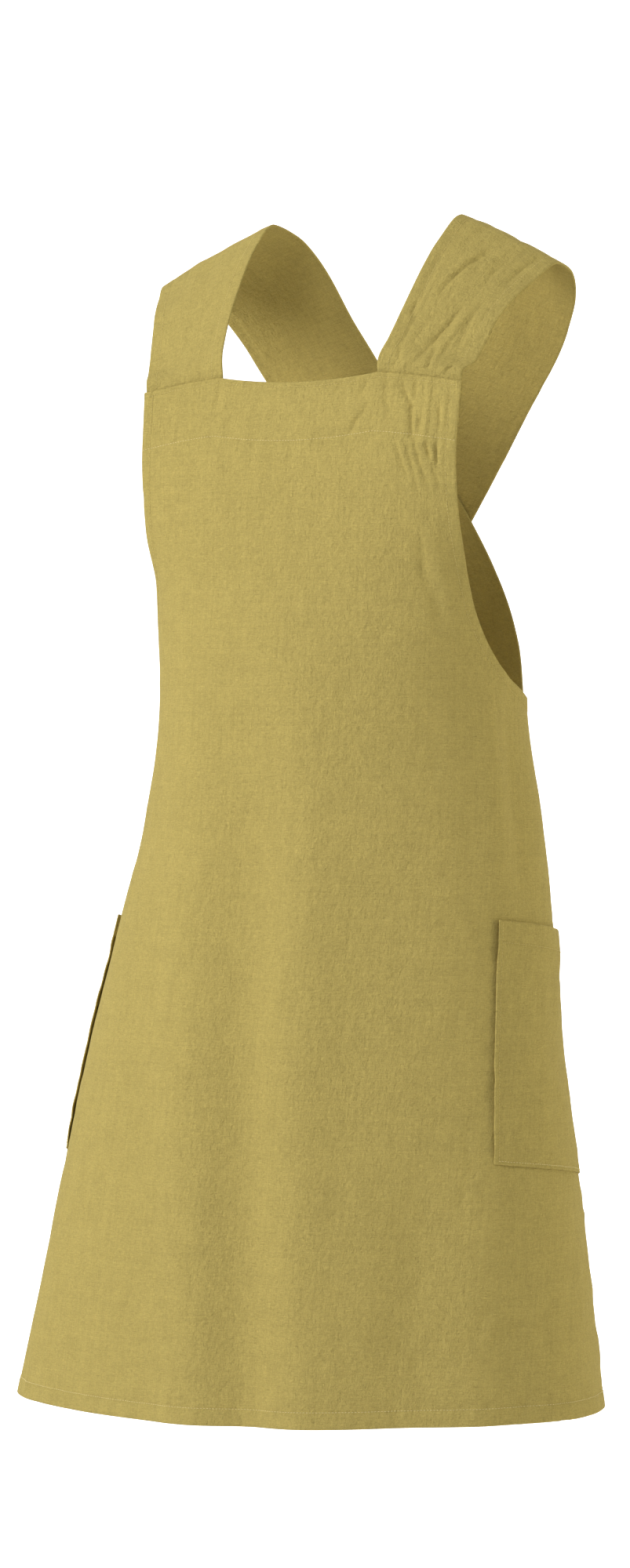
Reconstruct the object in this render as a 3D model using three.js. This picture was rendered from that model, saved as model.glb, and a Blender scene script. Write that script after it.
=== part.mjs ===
// Cross back apron with straight bib, two wide straps and hip pockets.
// Millimetres, Z up, wearer faces -Y, wearer's left is +X. Origin: middle of the shoulder line.
import * as THREE from "three";

// The wrap: drops are measured down from the shoulder line
const LENGTH = 1005;
const HEM_WIDTH = 536;
const HEM_FRONT = 278;
const HEM_BACK = 69;
const HEM_LIFT = 6;
const BACK_GAP = 124;
const BACK_GAP_AT_HEM = 150;

// The bib and the armholes, along the cloth
const BIB_DROP = 132;
const BIB_WIDTH = 306;
const BIB_CORNER_FALL = 4;
const NECK_WIDTH = 151;
const NECK_RISE = 6;
const ARMHOLE_DROP = 420;
const FACING_DEPTH = 50;

// The straps
const STRAP_END_WIDTH = 110;
const STRAP_TUCK = 13;
const STRAP_BOW = 2;
const SHOULDER_WIDTH = 382;
const SHOULDER_DEPTH = 200;

// The hip pockets
const POCKET_WIDTH = 170;
const POCKET_HEIGHT = 200;
const POCKET_DROP = 589;
const POCKET_FROM_FRONT = 206;
const POCKET_SLANT = 16;
const POCKET_TIP = 17;
const RIGHT_POCKET_BACK = 14;
const POCKET_GAPE = 1.2;

// Turned edges
const BOTTOM_TURN = 14;
const ARMHOLE_TURN = 10;
const BACK_TURN = 12;
const POCKET_TURN = 18;

// Walls and clearance
const BODY_WALL = 1.4;
const STRAP_WALL = 2.2;
const TURN_WALL = 1.0;
const POCKET_WALL = 1.4;
const CLEARANCE = 0.6;
const CURVE_CLEARANCE = 0.4;

// How finely each piece is divided
const FRONT_COLUMNS = 14;
const BACK_COLUMNS = 14;
const BIB_ROWS = 14;
const SKIRT_ROWS = 19;
const STRAP_ROWS = 42;
const STRAP_COLUMNS = 7;
const RING_STEPS = 360;
const RING_SPACING = 5;

// One row per level. Drop is a share of LENGTH, width of HEM_WIDTH, front and side of HEM_FRONT,
// back of HEM_BACK. The two powers round the corners of the level (1 is an ellipse).
const SECTIONS = [
  { drop: 0.10, width: 0.777, front: 0.460, side: 0.153, back: 1.158, widthPower: 0.80, depthPower: 0.18 },
  { drop: 0.13, width: 0.775, front: 0.463, side: 0.156, back: 1.158, widthPower: 0.80, depthPower: 0.20 },
  { drop: 0.19, width: 0.752, front: 0.516, side: 0.163, back: 1.231, widthPower: 0.80, depthPower: 0.42 },
  { drop: 0.25, width: 0.673, front: 0.542, side: 0.148, back: 1.241, widthPower: 0.82, depthPower: 0.50 },
  { drop: 0.30, width: 0.606, front: 0.559, side: 0.135, back: 1.218, widthPower: 0.85, depthPower: 0.60 },
  { drop: 0.35, width: 0.599, front: 0.589, side: 0.147, back: 1.142, widthPower: 0.89, depthPower: 0.72 },
  { drop: 0.40, width: 0.604, front: 0.604, side: 0.165, back: 1.065, widthPower: 0.92, depthPower: 0.85 },
  { drop: 0.50, width: 0.667, front: 0.632, side: 0.169, back: 1.037, widthPower: 0.95, depthPower: 0.92 },
  { drop: 0.60, width: 0.736, front: 0.706, side: 0.230, back: 1.083, widthPower: 0.97, depthPower: 0.96 },
  { drop: 0.70, width: 0.799, front: 0.798, side: 0.335, back: 1.023, widthPower: 1.00, depthPower: 1.00 },
  { drop: 0.80, width: 0.874, front: 0.870, side: 0.375, back: 1.010, widthPower: 1.00, depthPower: 1.00 },
  { drop: 0.90, width: 0.936, front: 0.940, side: 0.410, back: 1.016, widthPower: 1.00, depthPower: 1.00 },
  { drop: 1.00, width: 1.000, front: 0.999, side: 0.453, back: 0.998, widthPower: 1.00, depthPower: 1.00 },
];

// Armhole edge from the bib corner to the back corner.
// Down is a share of the drop between the two corners, out of the cloth between them.
const ARMHOLE = [
  { down: 0.000, out: 0.000 },
  { down: 0.100, out: -0.003 },
  { down: 0.200, out: -0.004 },
  { down: 0.353, out: 0.003 },
  { down: 0.540, out: 0.036 },
  { down: 0.633, out: 0.068 },
  { down: 0.719, out: 0.118 },
  { down: 0.813, out: 0.204 },
  { down: 0.863, out: 0.276 },
  { down: 0.914, out: 0.420 },
  { down: 0.950, out: 0.600 },
  { down: 0.978, out: 0.800 },
  { down: 1.000, out: 1.000 },
];
const ARMHOLE_TURNING_ROW = 8;

// Soft folds of the skirt, signed from the front centre line. Places across are shares of
// HEM_WIDTH, drops shares of LENGTH, widths and heights of HEM_FRONT. A minus is a valley.
const FOLDS = [
  { across: -0.200, top: 0.36, acrossHem: -0.040, bottom: 1.00, width: 0.120, height: 0.0120 },
  { across: -0.070, top: 0.36, acrossHem: 0.055, bottom: 1.00, width: 0.110, height: -0.0140 },
  { across: 0.020, top: 0.30, acrossHem: 0.140, bottom: 1.00, width: 0.120, height: 0.0130 },
  { across: 0.345, top: 0.36, acrossHem: 0.400, bottom: 0.60, width: 0.070, height: 0.0160 },
  { across: 0.400, top: 0.38, acrossHem: 0.445, bottom: 0.60, width: 0.065, height: -0.0160 },
  { across: 0.210, top: 0.76, acrossHem: 0.215, bottom: 1.04, width: 0.110, height: 0.0100 },
  { across: 0.300, top: 0.74, acrossHem: 0.315, bottom: 1.04, width: 0.110, height: -0.0190 },
  { across: 0.400, top: 0.72, acrossHem: 0.425, bottom: 1.04, width: 0.100, height: 0.0150 },
  { across: -0.450, top: 0.60, acrossHem: -0.600, bottom: 1.04, width: 0.170, height: -0.0150 },
  { across: -0.620, top: 0.48, acrossHem: -0.800, bottom: 1.04, width: 0.160, height: 0.0200 },
  { across: 0.640, top: 0.48, acrossHem: 0.830, bottom: 1.04, width: 0.160, height: 0.0220 },
  { across: 0.740, top: 0.55, acrossHem: 0.980, bottom: 1.04, width: 0.140, height: -0.0180 },
  { across: -0.740, top: 0.55, acrossHem: -0.990, bottom: 1.04, width: 0.140, height: -0.0180 },
];

// Edges of the strap between the bib and the upper back. Across is a share of SHOULDER_WIDTH,
// depth of SHOULDER_DEPTH, height of BIB_DROP, and along of the strap's whole run.
const SHOULDER = [
  { along: 0.020, neck: [0.194, -0.670, -0.96], arm: [0.390, -0.640, -1.05] },
  { along: 0.065, neck: [0.211, -0.565, -0.71], arm: [0.414, -0.530, -0.88] },
  { along: 0.127, neck: [0.224, -0.435, -0.44], arm: [0.434, -0.395, -0.6] },
  { along: 0.215, neck: [0.236, -0.190, -0.04], arm: [0.472, -0.195, -0.34] },
  { along: 0.271, neck: [0.241, 0.000, 0.135], arm: [0.493, -0.050, -0.22] },
  { along: 0.320, neck: [0.230, 0.170, 0.08], arm: [0.485, 0.110, -0.25] },
  { along: 0.374, neck: [0.199, 0.310, -0.12], arm: [0.461, 0.250, -0.39] },
  { along: 0.436, neck: [0.152, 0.380, -0.43], arm: [0.408, 0.350, -0.66] },
  { along: 0.520, neck: [0.060, 0.400, -0.86], arm: [0.330, 0.390, -1.1] },
];
const STRAP_LEAVES_BIB = [0.022, 0.062];
const STRAP_MEETS_BACK = [0.41, 0.50];

// Shared maths
const mix = (a, b, t) => a + (b - a) * t;
const clamp = (v, lo, hi) => Math.min(hi, Math.max(lo, v));
const smooth = (lo, hi, v) => {
  const t = clamp((v - lo) / (hi - lo), 0, 1);
  return t * t * (3 - 2 * t);
};
const add = (a, b, t = 1) => [a[0] + b[0] * t, a[1] + b[1] * t, a[2] + b[2] * t];
const mixPoint = (a, b, t) => add(a, [b[0] - a[0], b[1] - a[1], b[2] - a[2]], t);
const cross = (a, b) => [a[1] * b[2] - a[2] * b[1], a[2] * b[0] - a[0] * b[2], a[0] * b[1] - a[1] * b[0]];
const unit = (a) => {
  const length = Math.hypot(...a);
  return a.map((v) => v / length);
};

// Smooth curve through chosen knots that never overshoots them
function curve(knots, values) {
  const count = knots.length;
  const step = [];
  const slope = [];
  for (let i = 0; i < count - 1; i += 1) {
    step.push(knots[i + 1] - knots[i]);
    slope.push((values[i + 1] - values[i]) / step[i]);
  }
  const tangent = [slope[0]];
  for (let i = 1; i < count - 1; i += 1) {
    if (slope[i - 1] * slope[i] <= 0) {
      tangent.push(0);
    } else {
      const before = 2 * step[i] + step[i - 1];
      const after = step[i] + 2 * step[i - 1];
      tangent.push((before + after) / (before / slope[i - 1] + after / slope[i]));
    }
  }
  tangent.push(slope[count - 2]);
  return (at) => {
    const x = clamp(at, knots[0], knots[count - 1]);
    let i = 0;
    while (i < count - 2 && x > knots[i + 1]) i += 1;
    const t = (x - knots[i]) / step[i];
    const u = 1 - t;
    return (
      values[i] * (1 + 2 * t) * u * u +
      values[i + 1] * (3 - 2 * t) * t * t +
      step[i] * t * u * (tangent[i] * u - tangent[i + 1] * t)
    );
  };
}

// Level curves of the wrap, stored with their length from the front centre line
const sectionCurve = {};
for (const key of ["width", "front", "side", "back", "widthPower", "depthPower"]) {
  sectionCurve[key] = curve(SECTIONS.map((row) => row.drop), SECTIONS.map((row) => row[key]));
}

function makeRing(drop) {
  const level = drop / LENGTH;
  const half = (sectionCurve.width(level) * HEM_WIDTH) / 2;
  const front = -sectionCurve.front(level) * HEM_FRONT;
  const side = -sectionCurve.side(level) * HEM_FRONT;
  const back = sectionCurve.back(level) * HEM_BACK;
  const widthPower = sectionCurve.widthPower(level);
  const depthPower = sectionCurve.depthPower(level);
  const ring = { x: [], y: [], length: [] };
  for (let i = 0; i <= RING_STEPS; i += 1) {
    const angle = (Math.PI * i) / RING_STEPS;
    const reach = Math.abs(Math.cos(angle)) ** depthPower;
    const x = half * Math.max(0, Math.sin(angle)) ** widthPower;
    const y = side + ((i * 2 <= RING_STEPS ? front : back) - side) * reach;
    const before = i === 0 ? 0 : ring.length[i - 1] + Math.hypot(x - ring.x[i - 1], y - ring.y[i - 1]);
    ring.x.push(x);
    ring.y.push(y);
    ring.length.push(before);
  }
  return ring;
}

const rings = [];
const RING_COUNT = Math.ceil((LENGTH * 1.06) / RING_SPACING) + 1;
for (let i = 0; i <= RING_COUNT; i += 1) rings.push(makeRing(i * RING_SPACING));

function onRing(ring, distance) {
  const last = ring.length.length - 1;
  const want = clamp(distance, 0, ring.length[last]);
  let low = 0;
  let high = last;
  while (high - low > 1) {
    const middle = (low + high) >> 1;
    if (ring.length[middle] <= want) low = middle;
    else high = middle;
  }
  const t = (want - ring.length[low]) / (ring.length[high] - ring.length[low]);
  return [mix(ring.x[low], ring.x[high], t), mix(ring.y[low], ring.y[high], t)];
}

function halfGirth(drop) {
  const place = clamp(drop / RING_SPACING, 0, RING_COUNT - 1);
  const i = Math.min(Math.floor(place), RING_COUNT - 1);
  const last = RING_STEPS;
  return mix(rings[i].length[last], rings[i + 1].length[last], place - i);
}

// A point on the wrap: across is cloth measured from the front centre line, minus is image left
function wrapPoint(across, drop) {
  const place = clamp(drop / RING_SPACING, 0, RING_COUNT - 1);
  const i = Math.min(Math.floor(place), RING_COUNT - 1);
  const [xa, ya] = onRing(rings[i], Math.abs(across));
  const [xb, yb] = onRing(rings[i + 1], Math.abs(across));
  const t = place - i;
  return [Math.sign(across) * mix(xa, xb, t), mix(ya, yb, t), -drop];
}

function foldHeight(across, drop) {
  let height = 0;
  for (const fold of FOLDS) {
    const t = (drop / LENGTH - fold.top) / (fold.bottom - fold.top);
    if (t <= 0 || t >= 1.15) continue;
    const middle = mix(fold.across, fold.acrossHem, t) * HEM_WIDTH;
    const away = (across - middle) / (fold.width * HEM_FRONT);
    const fade = fold.bottom < 0.9 ? 1 - smooth(0.75, 1, t) : 1;
    height += fold.height * HEM_FRONT * Math.exp(-away * away) * smooth(0, 0.45, t) * fade;
  }
  return height;
}

// The cloth's middle surface with its folds
function clothPoint(across, drop) {
  const point = wrapPoint(across, drop);
  const height = foldHeight(across, drop);
  if (height === 0) return point;
  const a = wrapPoint(across - 3, drop);
  const b = wrapPoint(across + 3, drop);
  const out = unit([b[1] - a[1], a[0] - b[0], 0]);
  return add(point, out, height);
}

function surfaceOf(place) {
  return (u, v, offset, step = 2) => {
    const du = place(u + step, v);
    const dd = place(u - step, v);
    const dv = place(u, v + step);
    const dw = place(u, v - step);
    const out = unit(cross(add(dv, dw, -1), add(du, dd, -1)));
    return add(place(u, v), out, offset);
  };
}
const cloth = surfaceOf(clothPoint);

// Outline of the apron in cloth coordinates
function bibTop(across) {
  const away = Math.abs(across);
  const neck = NECK_WIDTH / 2;
  if (away <= neck) return BIB_DROP - NECK_RISE * (away / neck) ** 2;
  const t = (away - neck) / (BIB_WIDTH / 2 - neck);
  return BIB_DROP - NECK_RISE + (NECK_RISE + BIB_CORNER_FALL) * t ** 1.3;
}

function backEdge(drop) {
  const t = clamp((drop - ARMHOLE_DROP) / (LENGTH - ARMHOLE_DROP), 0, 1);
  return halfGirth(drop) - mix(BACK_GAP, BACK_GAP_AT_HEM, t) / 2;
}

function hemDrop(across) {
  const turn = Math.cos(Math.PI * clamp((2 * Math.abs(across)) / backEdge(LENGTH), 0, 1));
  return LENGTH - HEM_LIFT * (0.5 - 0.5 * turn);
}

const armholeKnots = [0];
for (let i = 1; i < ARMHOLE.length; i += 1) {
  const run = Math.hypot(ARMHOLE[i].down - ARMHOLE[i - 1].down, ARMHOLE[i].out - ARMHOLE[i - 1].out);
  armholeKnots.push(armholeKnots[i - 1] + run);
}
const armholeOut = curve(armholeKnots, ARMHOLE.map((row) => row.out));
const armholeDown = curve(armholeKnots, ARMHOLE.map((row) => row.down));
const ARMHOLE_RUN = armholeKnots[ARMHOLE.length - 1];

function armholePoint(run) {
  const topDrop = bibTop(BIB_WIDTH / 2);
  const corner = backEdge(ARMHOLE_DROP);
  return [
    mix(BIB_WIDTH / 2, corner, armholeOut(run)),
    mix(topDrop, ARMHOLE_DROP, armholeDown(run)),
  ];
}

function armholeInside(run, depth) {
  const a = armholePoint(Math.max(0, run - 0.01));
  const b = armholePoint(Math.min(ARMHOLE_RUN, run + 0.01));
  const at = armholePoint(run);
  const length = Math.hypot(b[0] - a[0], b[1] - a[1]);
  return [at[0] - ((b[1] - a[1]) / length) * depth, at[1] + ((b[0] - a[0]) / length) * depth];
}

// Sheet of cloth as a closed solid: a list of flat places, quads between them, and a wall
function solid(places, quads, at, wall) {
  const outer = places.map((p) => at(p, wall / 2));
  const inner = places.map((p) => at(p, -wall / 2));
  const points = outer.concat(inner);
  const shift = places.length;
  const faces = [];
  const edges = new Map();
  for (const [a, b, c, d] of quads) {
    faces.push([a, b, c], [a, c, d]);
    faces.push([c + shift, b + shift, a + shift], [d + shift, c + shift, a + shift]);
    for (const [from, to] of [[a, b], [b, c], [c, d], [d, a]]) edges.set(`${from},${to}`, [from, to]);
  }
  for (const [from, to] of edges.values()) {
    if (edges.has(`${to},${from}`)) continue;
    faces.push([from + shift, to + shift, to], [from + shift, to, from]);
  }
  return { points, faces };
}

function strip(rows) {
  const width = rows[0].length;
  const places = rows.flat();
  const quads = [];
  for (let i = 0; i < rows.length - 1; i += 1) {
    for (let j = 0; j < width - 1; j += 1) {
      const a = i * width + j;
      quads.push([a, a + width, a + width + 1, a + 1]);
    }
  }
  return { places, quads };
}

// Stations along the armhole, shared by the body and its turned edge
const turningRun = armholeKnots[ARMHOLE_TURNING_ROW];
const armholeStations = [];
for (let i = 0; i <= BIB_ROWS; i += 1) armholeStations.push((turningRun * i) / BIB_ROWS);
for (let j = 1; j <= BACK_COLUMNS; j += 1) {
  armholeStations.push(mix(turningRun, ARMHOLE_RUN, j / BACK_COLUMNS));
}

const BACK_LENGTH = hemDrop(backEdge(LENGTH));
function backStation(i) {
  const drop = mix(ARMHOLE_DROP, BACK_LENGTH, i / SKIRT_ROWS);
  return [backEdge(drop), drop];
}

// Across positions of the hem, shared by the body and the bottom hem
const turnPlace = armholePoint(turningRun);
const HEM_SPLIT = mix(turnPlace[0], (turnPlace[0] / halfGirth(turnPlace[1])) * halfGirth(LENGTH), 0.7);
const hemStations = [];
const frontShare = (j) => (j / FRONT_COLUMNS) * (1.35 - (0.35 * j) / FRONT_COLUMNS);
for (let j = 0; j <= FRONT_COLUMNS; j += 1) hemStations.push(HEM_SPLIT * frontShare(j));
for (let j = 1; j <= BACK_COLUMNS; j += 1) {
  hemStations.push(mix(HEM_SPLIT, backEdge(BACK_LENGTH), j / BACK_COLUMNS));
}

function frontPlace(i, j) {
  const t = frontShare(j);
  if (i <= BIB_ROWS) {
    const edge = armholePoint(armholeStations[i]);
    const share = i / BIB_ROWS;
    const across = edge[0] * t;
    const centre = mix(BIB_DROP, turnPlace[1] - NECK_RISE, share);
    const level = mix(centre, edge[1], t ** 1.5);
    const lift = (bibTop((BIB_WIDTH / 2) * t) - mix(BIB_DROP, bibTop(BIB_WIDTH / 2), t ** 1.5)) * (1 - share);
    return [across, level + lift];
  }
  const share = (i - BIB_ROWS) / SKIRT_ROWS;
  const across = mix(turnPlace[0] * t, hemStations[j], share);
  const top = mix(turnPlace[1] - NECK_RISE, turnPlace[1], t ** 1.5);
  return [across, mix(top, hemDrop(hemStations[j]), share)];
}

function backPlace(i, j) {
  const u = j / BACK_COLUMNS;
  const v = i / SKIRT_ROWS;
  const top = armholePoint(armholeStations[BIB_ROWS + j]);
  const hemAt = hemStations[FRONT_COLUMNS + j];
  const bottom = [hemAt, hemDrop(hemAt)];
  const left = frontPlace(BIB_ROWS + i, FRONT_COLUMNS);
  const right = backStation(i);
  const corners = [
    armholePoint(turningRun),
    armholePoint(ARMHOLE_RUN),
    [HEM_SPLIT, hemDrop(HEM_SPLIT)],
    [backEdge(BACK_LENGTH), BACK_LENGTH],
  ];
  const place = [0, 1].map((k) => {
    const across = (1 - v) * top[k] + v * bottom[k] + (1 - u) * left[k] + u * right[k];
    const overlap = mix(mix(corners[0][k], corners[1][k], u), mix(corners[2][k], corners[3][k], u), v);
    return across - overlap;
  });
  return place;
}

function bodySheet() {
  const places = [];
  const index = new Map();
  const vertex = (side, i, j) => {
    const key = `${j === 0 ? 1 : side},${i},${j}`;
    if (!index.has(key)) {
      const isFront = j <= FRONT_COLUMNS;
      const at = isFront ? frontPlace(i, j) : backPlace(i - BIB_ROWS, j - FRONT_COLUMNS);
      index.set(key, places.length);
      places.push([at[0] * side, at[1]]);
    }
    return index.get(key);
  };
  const quads = [];
  for (const side of [1, -1]) {
    for (let i = 0; i < BIB_ROWS + SKIRT_ROWS; i += 1) {
      const columns = i < BIB_ROWS ? FRONT_COLUMNS : FRONT_COLUMNS + BACK_COLUMNS;
      for (let j = 0; j < columns; j += 1) {
        const quad = [vertex(side, i, j), vertex(side, i + 1, j), vertex(side, i + 1, j + 1), vertex(side, i, j + 1)];
        quads.push(side === 1 ? quad : quad.reverse());
      }
    }
  }
  return { places, quads };
}

// Depths below the body's middle surface for what lies inside it
const TURN_INSIDE = -(BODY_WALL / 2 + CLEARANCE + TURN_WALL / 2);
const STRAP_INSIDE = -(BODY_WALL / 2 + CLEARANCE + STRAP_WALL / 2);
const STRAP_ROOM = STRAP_WALL + CLEARANCE;
const POCKET_OUTSIDE = BODY_WALL / 2 + CLEARANCE + CURVE_CLEARANCE + POCKET_WALL / 2;

// Where a strap end lies between the body and its turned edge, the turned edge stands further in
const NECK_MARGIN = 8;
function coveredByStrap(across, drop) {
  const away = Math.abs(across);
  const front = smooth(NECK_WIDTH / 2 - NECK_MARGIN, NECK_WIDTH / 2 - 1, away);
  const low = bibTop(Math.min(away, BIB_WIDTH / 2)) + STRAP_TUCK;
  const high = 1 - smooth(low + NECK_MARGIN * 0.25, low + NECK_MARGIN * 1.75, drop);
  const covered = backEdge(ARMHOLE_DROP) - STRAP_END_WIDTH * 1.1;
  const back = smooth(covered - NECK_MARGIN * 2.75, covered - NECK_MARGIN * 0.75, away);
  return Math.max(drop < (BIB_DROP + ARMHOLE_DROP) / 2 ? front * high : 0, back);
}
const insideBody = ([across, drop], offset) =>
  cloth(across, drop, TURN_INSIDE - STRAP_ROOM * coveredByStrap(across, drop) + offset);

function facingSheet() {
  const half = BIB_WIDTH / 2 - ARMHOLE_TURN - CLEARANCE * 2;
  const neck = NECK_WIDTH / 2;
  const stations = [0, neck * 0.3, neck * 0.6, neck - NECK_MARGIN - 1, neck - NECK_MARGIN / 2, neck - 1];
  for (let i = 1; i <= 6; i += 1) stations.push(mix(neck - 1, half, i / 6));
  const across = stations.slice(1).reverse().map((v) => -v).concat(stations);
  const levels = [0, 0.14, 0.3, 0.4, 0.5, 0.75, 1];
  const rows = levels.map((level) => across.map((a) => [a, bibTop(a) + CLEARANCE + level * (FACING_DEPTH - CLEARANCE)]));
  return strip(rows);
}

function bottomSheet() {
  const across = hemStations.slice(1).reverse().map((v) => -v).concat(hemStations);
  const rows = [BOTTOM_TURN, BOTTOM_TURN / 2, 0].map((depth) => across.map((a) => {
    const share = a / backEdge(BACK_LENGTH);
    const drop = hemDrop(a) - depth;
    return [share * backEdge(drop) * (1 - CLEARANCE / backEdge(BACK_LENGTH)), drop];
  }));
  return strip(rows);
}

function armholeSheet(side) {
  const stop = backEdge(ARMHOLE_DROP) - BACK_TURN - CLEARANCE * 2;
  const stations = [];
  for (let i = 0; i < armholeStations.length - 1; i += 1) {
    stations.push(armholeStations[i], mix(armholeStations[i], armholeStations[i + 1], 0.5));
  }
  const runs = stations.filter((run) => armholePoint(run)[0] < stop - CLEARANCE);
  let low = runs[runs.length - 1];
  let high = ARMHOLE_RUN;
  for (let i = 0; i < 40; i += 1) {
    const middle = (low + high) / 2;
    if (armholePoint(middle)[0] < stop) low = middle;
    else high = middle;
  }
  runs.push(low);
  const rows = runs.map((run) => [ARMHOLE_TURN, CLEARANCE / 2].map((depth) => {
    const [across, drop] = armholeInside(run, depth);
    return [across * side, Math.max(drop, bibTop(Math.min(across, BIB_WIDTH / 2)) + CLEARANCE)];
  }));
  if (side < 0) rows.forEach((row) => row.reverse());
  return strip(rows);
}

function backSheet(side) {
  const rows = [];
  const end = BACK_LENGTH - BOTTOM_TURN - CLEARANCE * 2;
  for (let i = 0; i <= SKIRT_ROWS; i += 1) {
    const drop = Math.min(mix(ARMHOLE_DROP, BACK_LENGTH, i / SKIRT_ROWS) + (i === 0 ? CLEARANCE : 0), end);
    if (i > 0 && drop - rows[i - 1][0][1] < CLEARANCE) break;
    const edge = backEdge(drop) - CLEARANCE / 2;
    const row = [[(edge - BACK_TURN) * side, drop], [edge * side, drop]];
    rows.push(side < 0 ? row.reverse() : row);
  }
  return strip(rows);
}

// The pockets and the turned hems inside their mouths
function pocketRows(levels, columns, width, inset) {
  return levels.map((level) => {
    const row = [];
    for (let j = 0; j <= columns; j += 1) {
      const share = j / columns;
      const across = POCKET_FROM_FRONT + POCKET_SLANT * level + inset + share * (width - 2 * inset);
      row.push([across, POCKET_DROP + level * POCKET_HEIGHT + share * POCKET_TIP, level, share]);
    }
    return row;
  });
}

function pocketGape(level, share) {
  const turn = POCKET_TURN / POCKET_HEIGHT;
  const room = (TURN_WALL + CLEARANCE) * (1 - smooth(turn * 1.3, turn * 3, level));
  return room + POCKET_GAPE * (1 - smooth(0, 0.5, level)) * Math.sin(Math.PI * share);
}

function pocketSheet(side, levels, columns, inset, depth) {
  const rows = pocketRows(levels, columns, POCKET_WIDTH, inset);
  const back = side < 0 ? RIGHT_POCKET_BACK : 0;
  rows.forEach((row) => row.forEach((p) => { p[0] = (p[0] + back) * side; }));
  if (side < 0) rows.forEach((row) => row.reverse());
  const sheet = strip(rows);
  const at = (p, offset) => {
    const height = POCKET_OUTSIDE + pocketGape(p[2], p[3]) + depth + offset;
    return cloth(p[0], p[1], height);
  };
  return { sheet, at };
}

// The straps
const shoulderCurve = ["neck", "arm"].map((edge) => [0, 1, 2].map((axis) => {
  const size = [SHOULDER_WIDTH, SHOULDER_DEPTH, BIB_DROP][axis];
  return curve(SHOULDER.map((row) => row.along), SHOULDER.map((row) => row[edge][axis] * size));
}));

function overShoulder(along, share) {
  const [neck, arm] = shoulderCurve.map((axes) => axes.map((axis) => axis(along)));
  return mixPoint(neck, arm, share);
}

const STRAP_RUN = STRAP_TUCK / SHOULDER[0].along;
const bibSurface = (side) => (along, share) => {
  const across = mix(NECK_WIDTH / 2, BIB_WIDTH / 2 - CLEARANCE * 2, share);
  const drop = bibTop(across) + STRAP_TUCK - along * STRAP_RUN;
  const point = cloth(across * side, drop, STRAP_INSIDE);
  return [point[0] * side, point[1], point[2]];
};

// The back half runs straight over the wrap; around is cloth from the back centre line
const startRow = SHOULDER[7];
const BACK_START = startRow.along;
const backStart = {};
for (const edge of ["neck", "arm"]) {
  backStart[edge] = [startRow[edge][0] * SHOULDER_WIDTH, -startRow[edge][2] * BIB_DROP];
}
function acrossBack(side, along, share, layer) {
  const t = (along - BACK_START) / (1 - BACK_START);
  const armEnd = [-(BACK_GAP / 2 + CLEARANCE), ARMHOLE_DROP + STRAP_TUCK];
  const neckEnd = [-(BACK_GAP / 2 + STRAP_END_WIDTH), ARMHOLE_DROP + STRAP_TUCK - STRAP_END_WIDTH * 0.11];
  const around = mix(mix(backStart.neck[0], neckEnd[0], t), mix(backStart.arm[0], armEnd[0], t), share);
  const drop = mix(mix(backStart.neck[1], neckEnd[1], t), mix(backStart.arm[1], armEnd[1], t), share);
  const place = (a, d) => {
    const away = halfGirth(d) - Math.abs(a);
    const point = clothPoint(away * Math.sign(a * side || 1), d);
    return [point[0] * side, point[1], point[2]];
  };
  const step = 2;
  const sideways = add(place(around + step, drop), place(around - step, drop), -1);
  const down = add(place(around, drop + step), place(around, drop - step), -1);
  const outward = unit(cross(sideways, down));
  const tucked = smooth(ARMHOLE_DROP - STRAP_TUCK * 5.4, ARMHOLE_DROP - STRAP_TUCK * 2, drop);
  return add(place(around, drop), outward, mix(layer, STRAP_INSIDE, tucked));
}

const CROSSING_LAYER = (STRAP_WALL + CLEARANCE) / 2 + CURVE_CLEARANCE;
function strapMiddle(side) {
  const front = bibSurface(side);
  return (along, share) => {
    const middle = overShoulder(along, share);
    const onBib = 1 - smooth(STRAP_LEAVES_BIB[0], STRAP_LEAVES_BIB[1], along);
    const onBack = smooth(STRAP_MEETS_BACK[0], STRAP_MEETS_BACK[1], along);
    let point = middle;
    if (onBib > 0) point = mixPoint(point, front(along, share), onBib);
    if (onBack > 0) point = mixPoint(point, acrossBack(side, along, share, side * CROSSING_LAYER), onBack);
    return point;
  };
}

function strapSolid(side) {
  const middle = strapMiddle(side);
  const rows = [];
  for (let i = 0; i <= STRAP_ROWS; i += 1) {
    const row = [];
    for (let j = 0; j <= STRAP_COLUMNS; j += 1) row.push([i / STRAP_ROWS, j / STRAP_COLUMNS]);
    rows.push(row);
  }
  const at = ([along, share], offset) => {
    const step = 0.004;
    const ahead = add(middle(along + step, share), middle(along - step, share), -1);
    const armward = add(middle(along, share + step), middle(along, share - step), -1);
    const out = unit(cross(armward, ahead));
    const loose = smooth(0.08, 0.2, along) * (1 - smooth(0.32, 0.42, along));
    const bow = STRAP_BOW * loose * 4 * share * (1 - share);
    const point = add(middle(along, share), out, offset + bow);
    return [point[0] * side, point[1], point[2]];
  };
  const sheet = strip(rows);
  const quads = side < 0 ? sheet.quads : sheet.quads.map((quad) => quad.slice().reverse());
  return solid(sheet.places, quads, at, STRAP_WALL);
}

// Meshes
const linen = 0xc0ab68;
const tones = { body: linen, strap: 0xb8a35f, turn: 0xd0bd80, pocket: 0xb09a58 };
function mesh(name, shape, color) {
  const positions = [];
  for (const face of shape.faces) for (const corner of face) positions.push(...shape.points[corner]);
  const geometry = new THREE.BufferGeometry();
  geometry.setAttribute("position", new THREE.Float32BufferAttribute(positions, 3));
  geometry.computeVertexNormals();
  const piece = new THREE.Mesh(geometry, new THREE.MeshStandardMaterial({ color, roughness: 0.9 }));
  piece.name = name;
  return piece;
}

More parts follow.
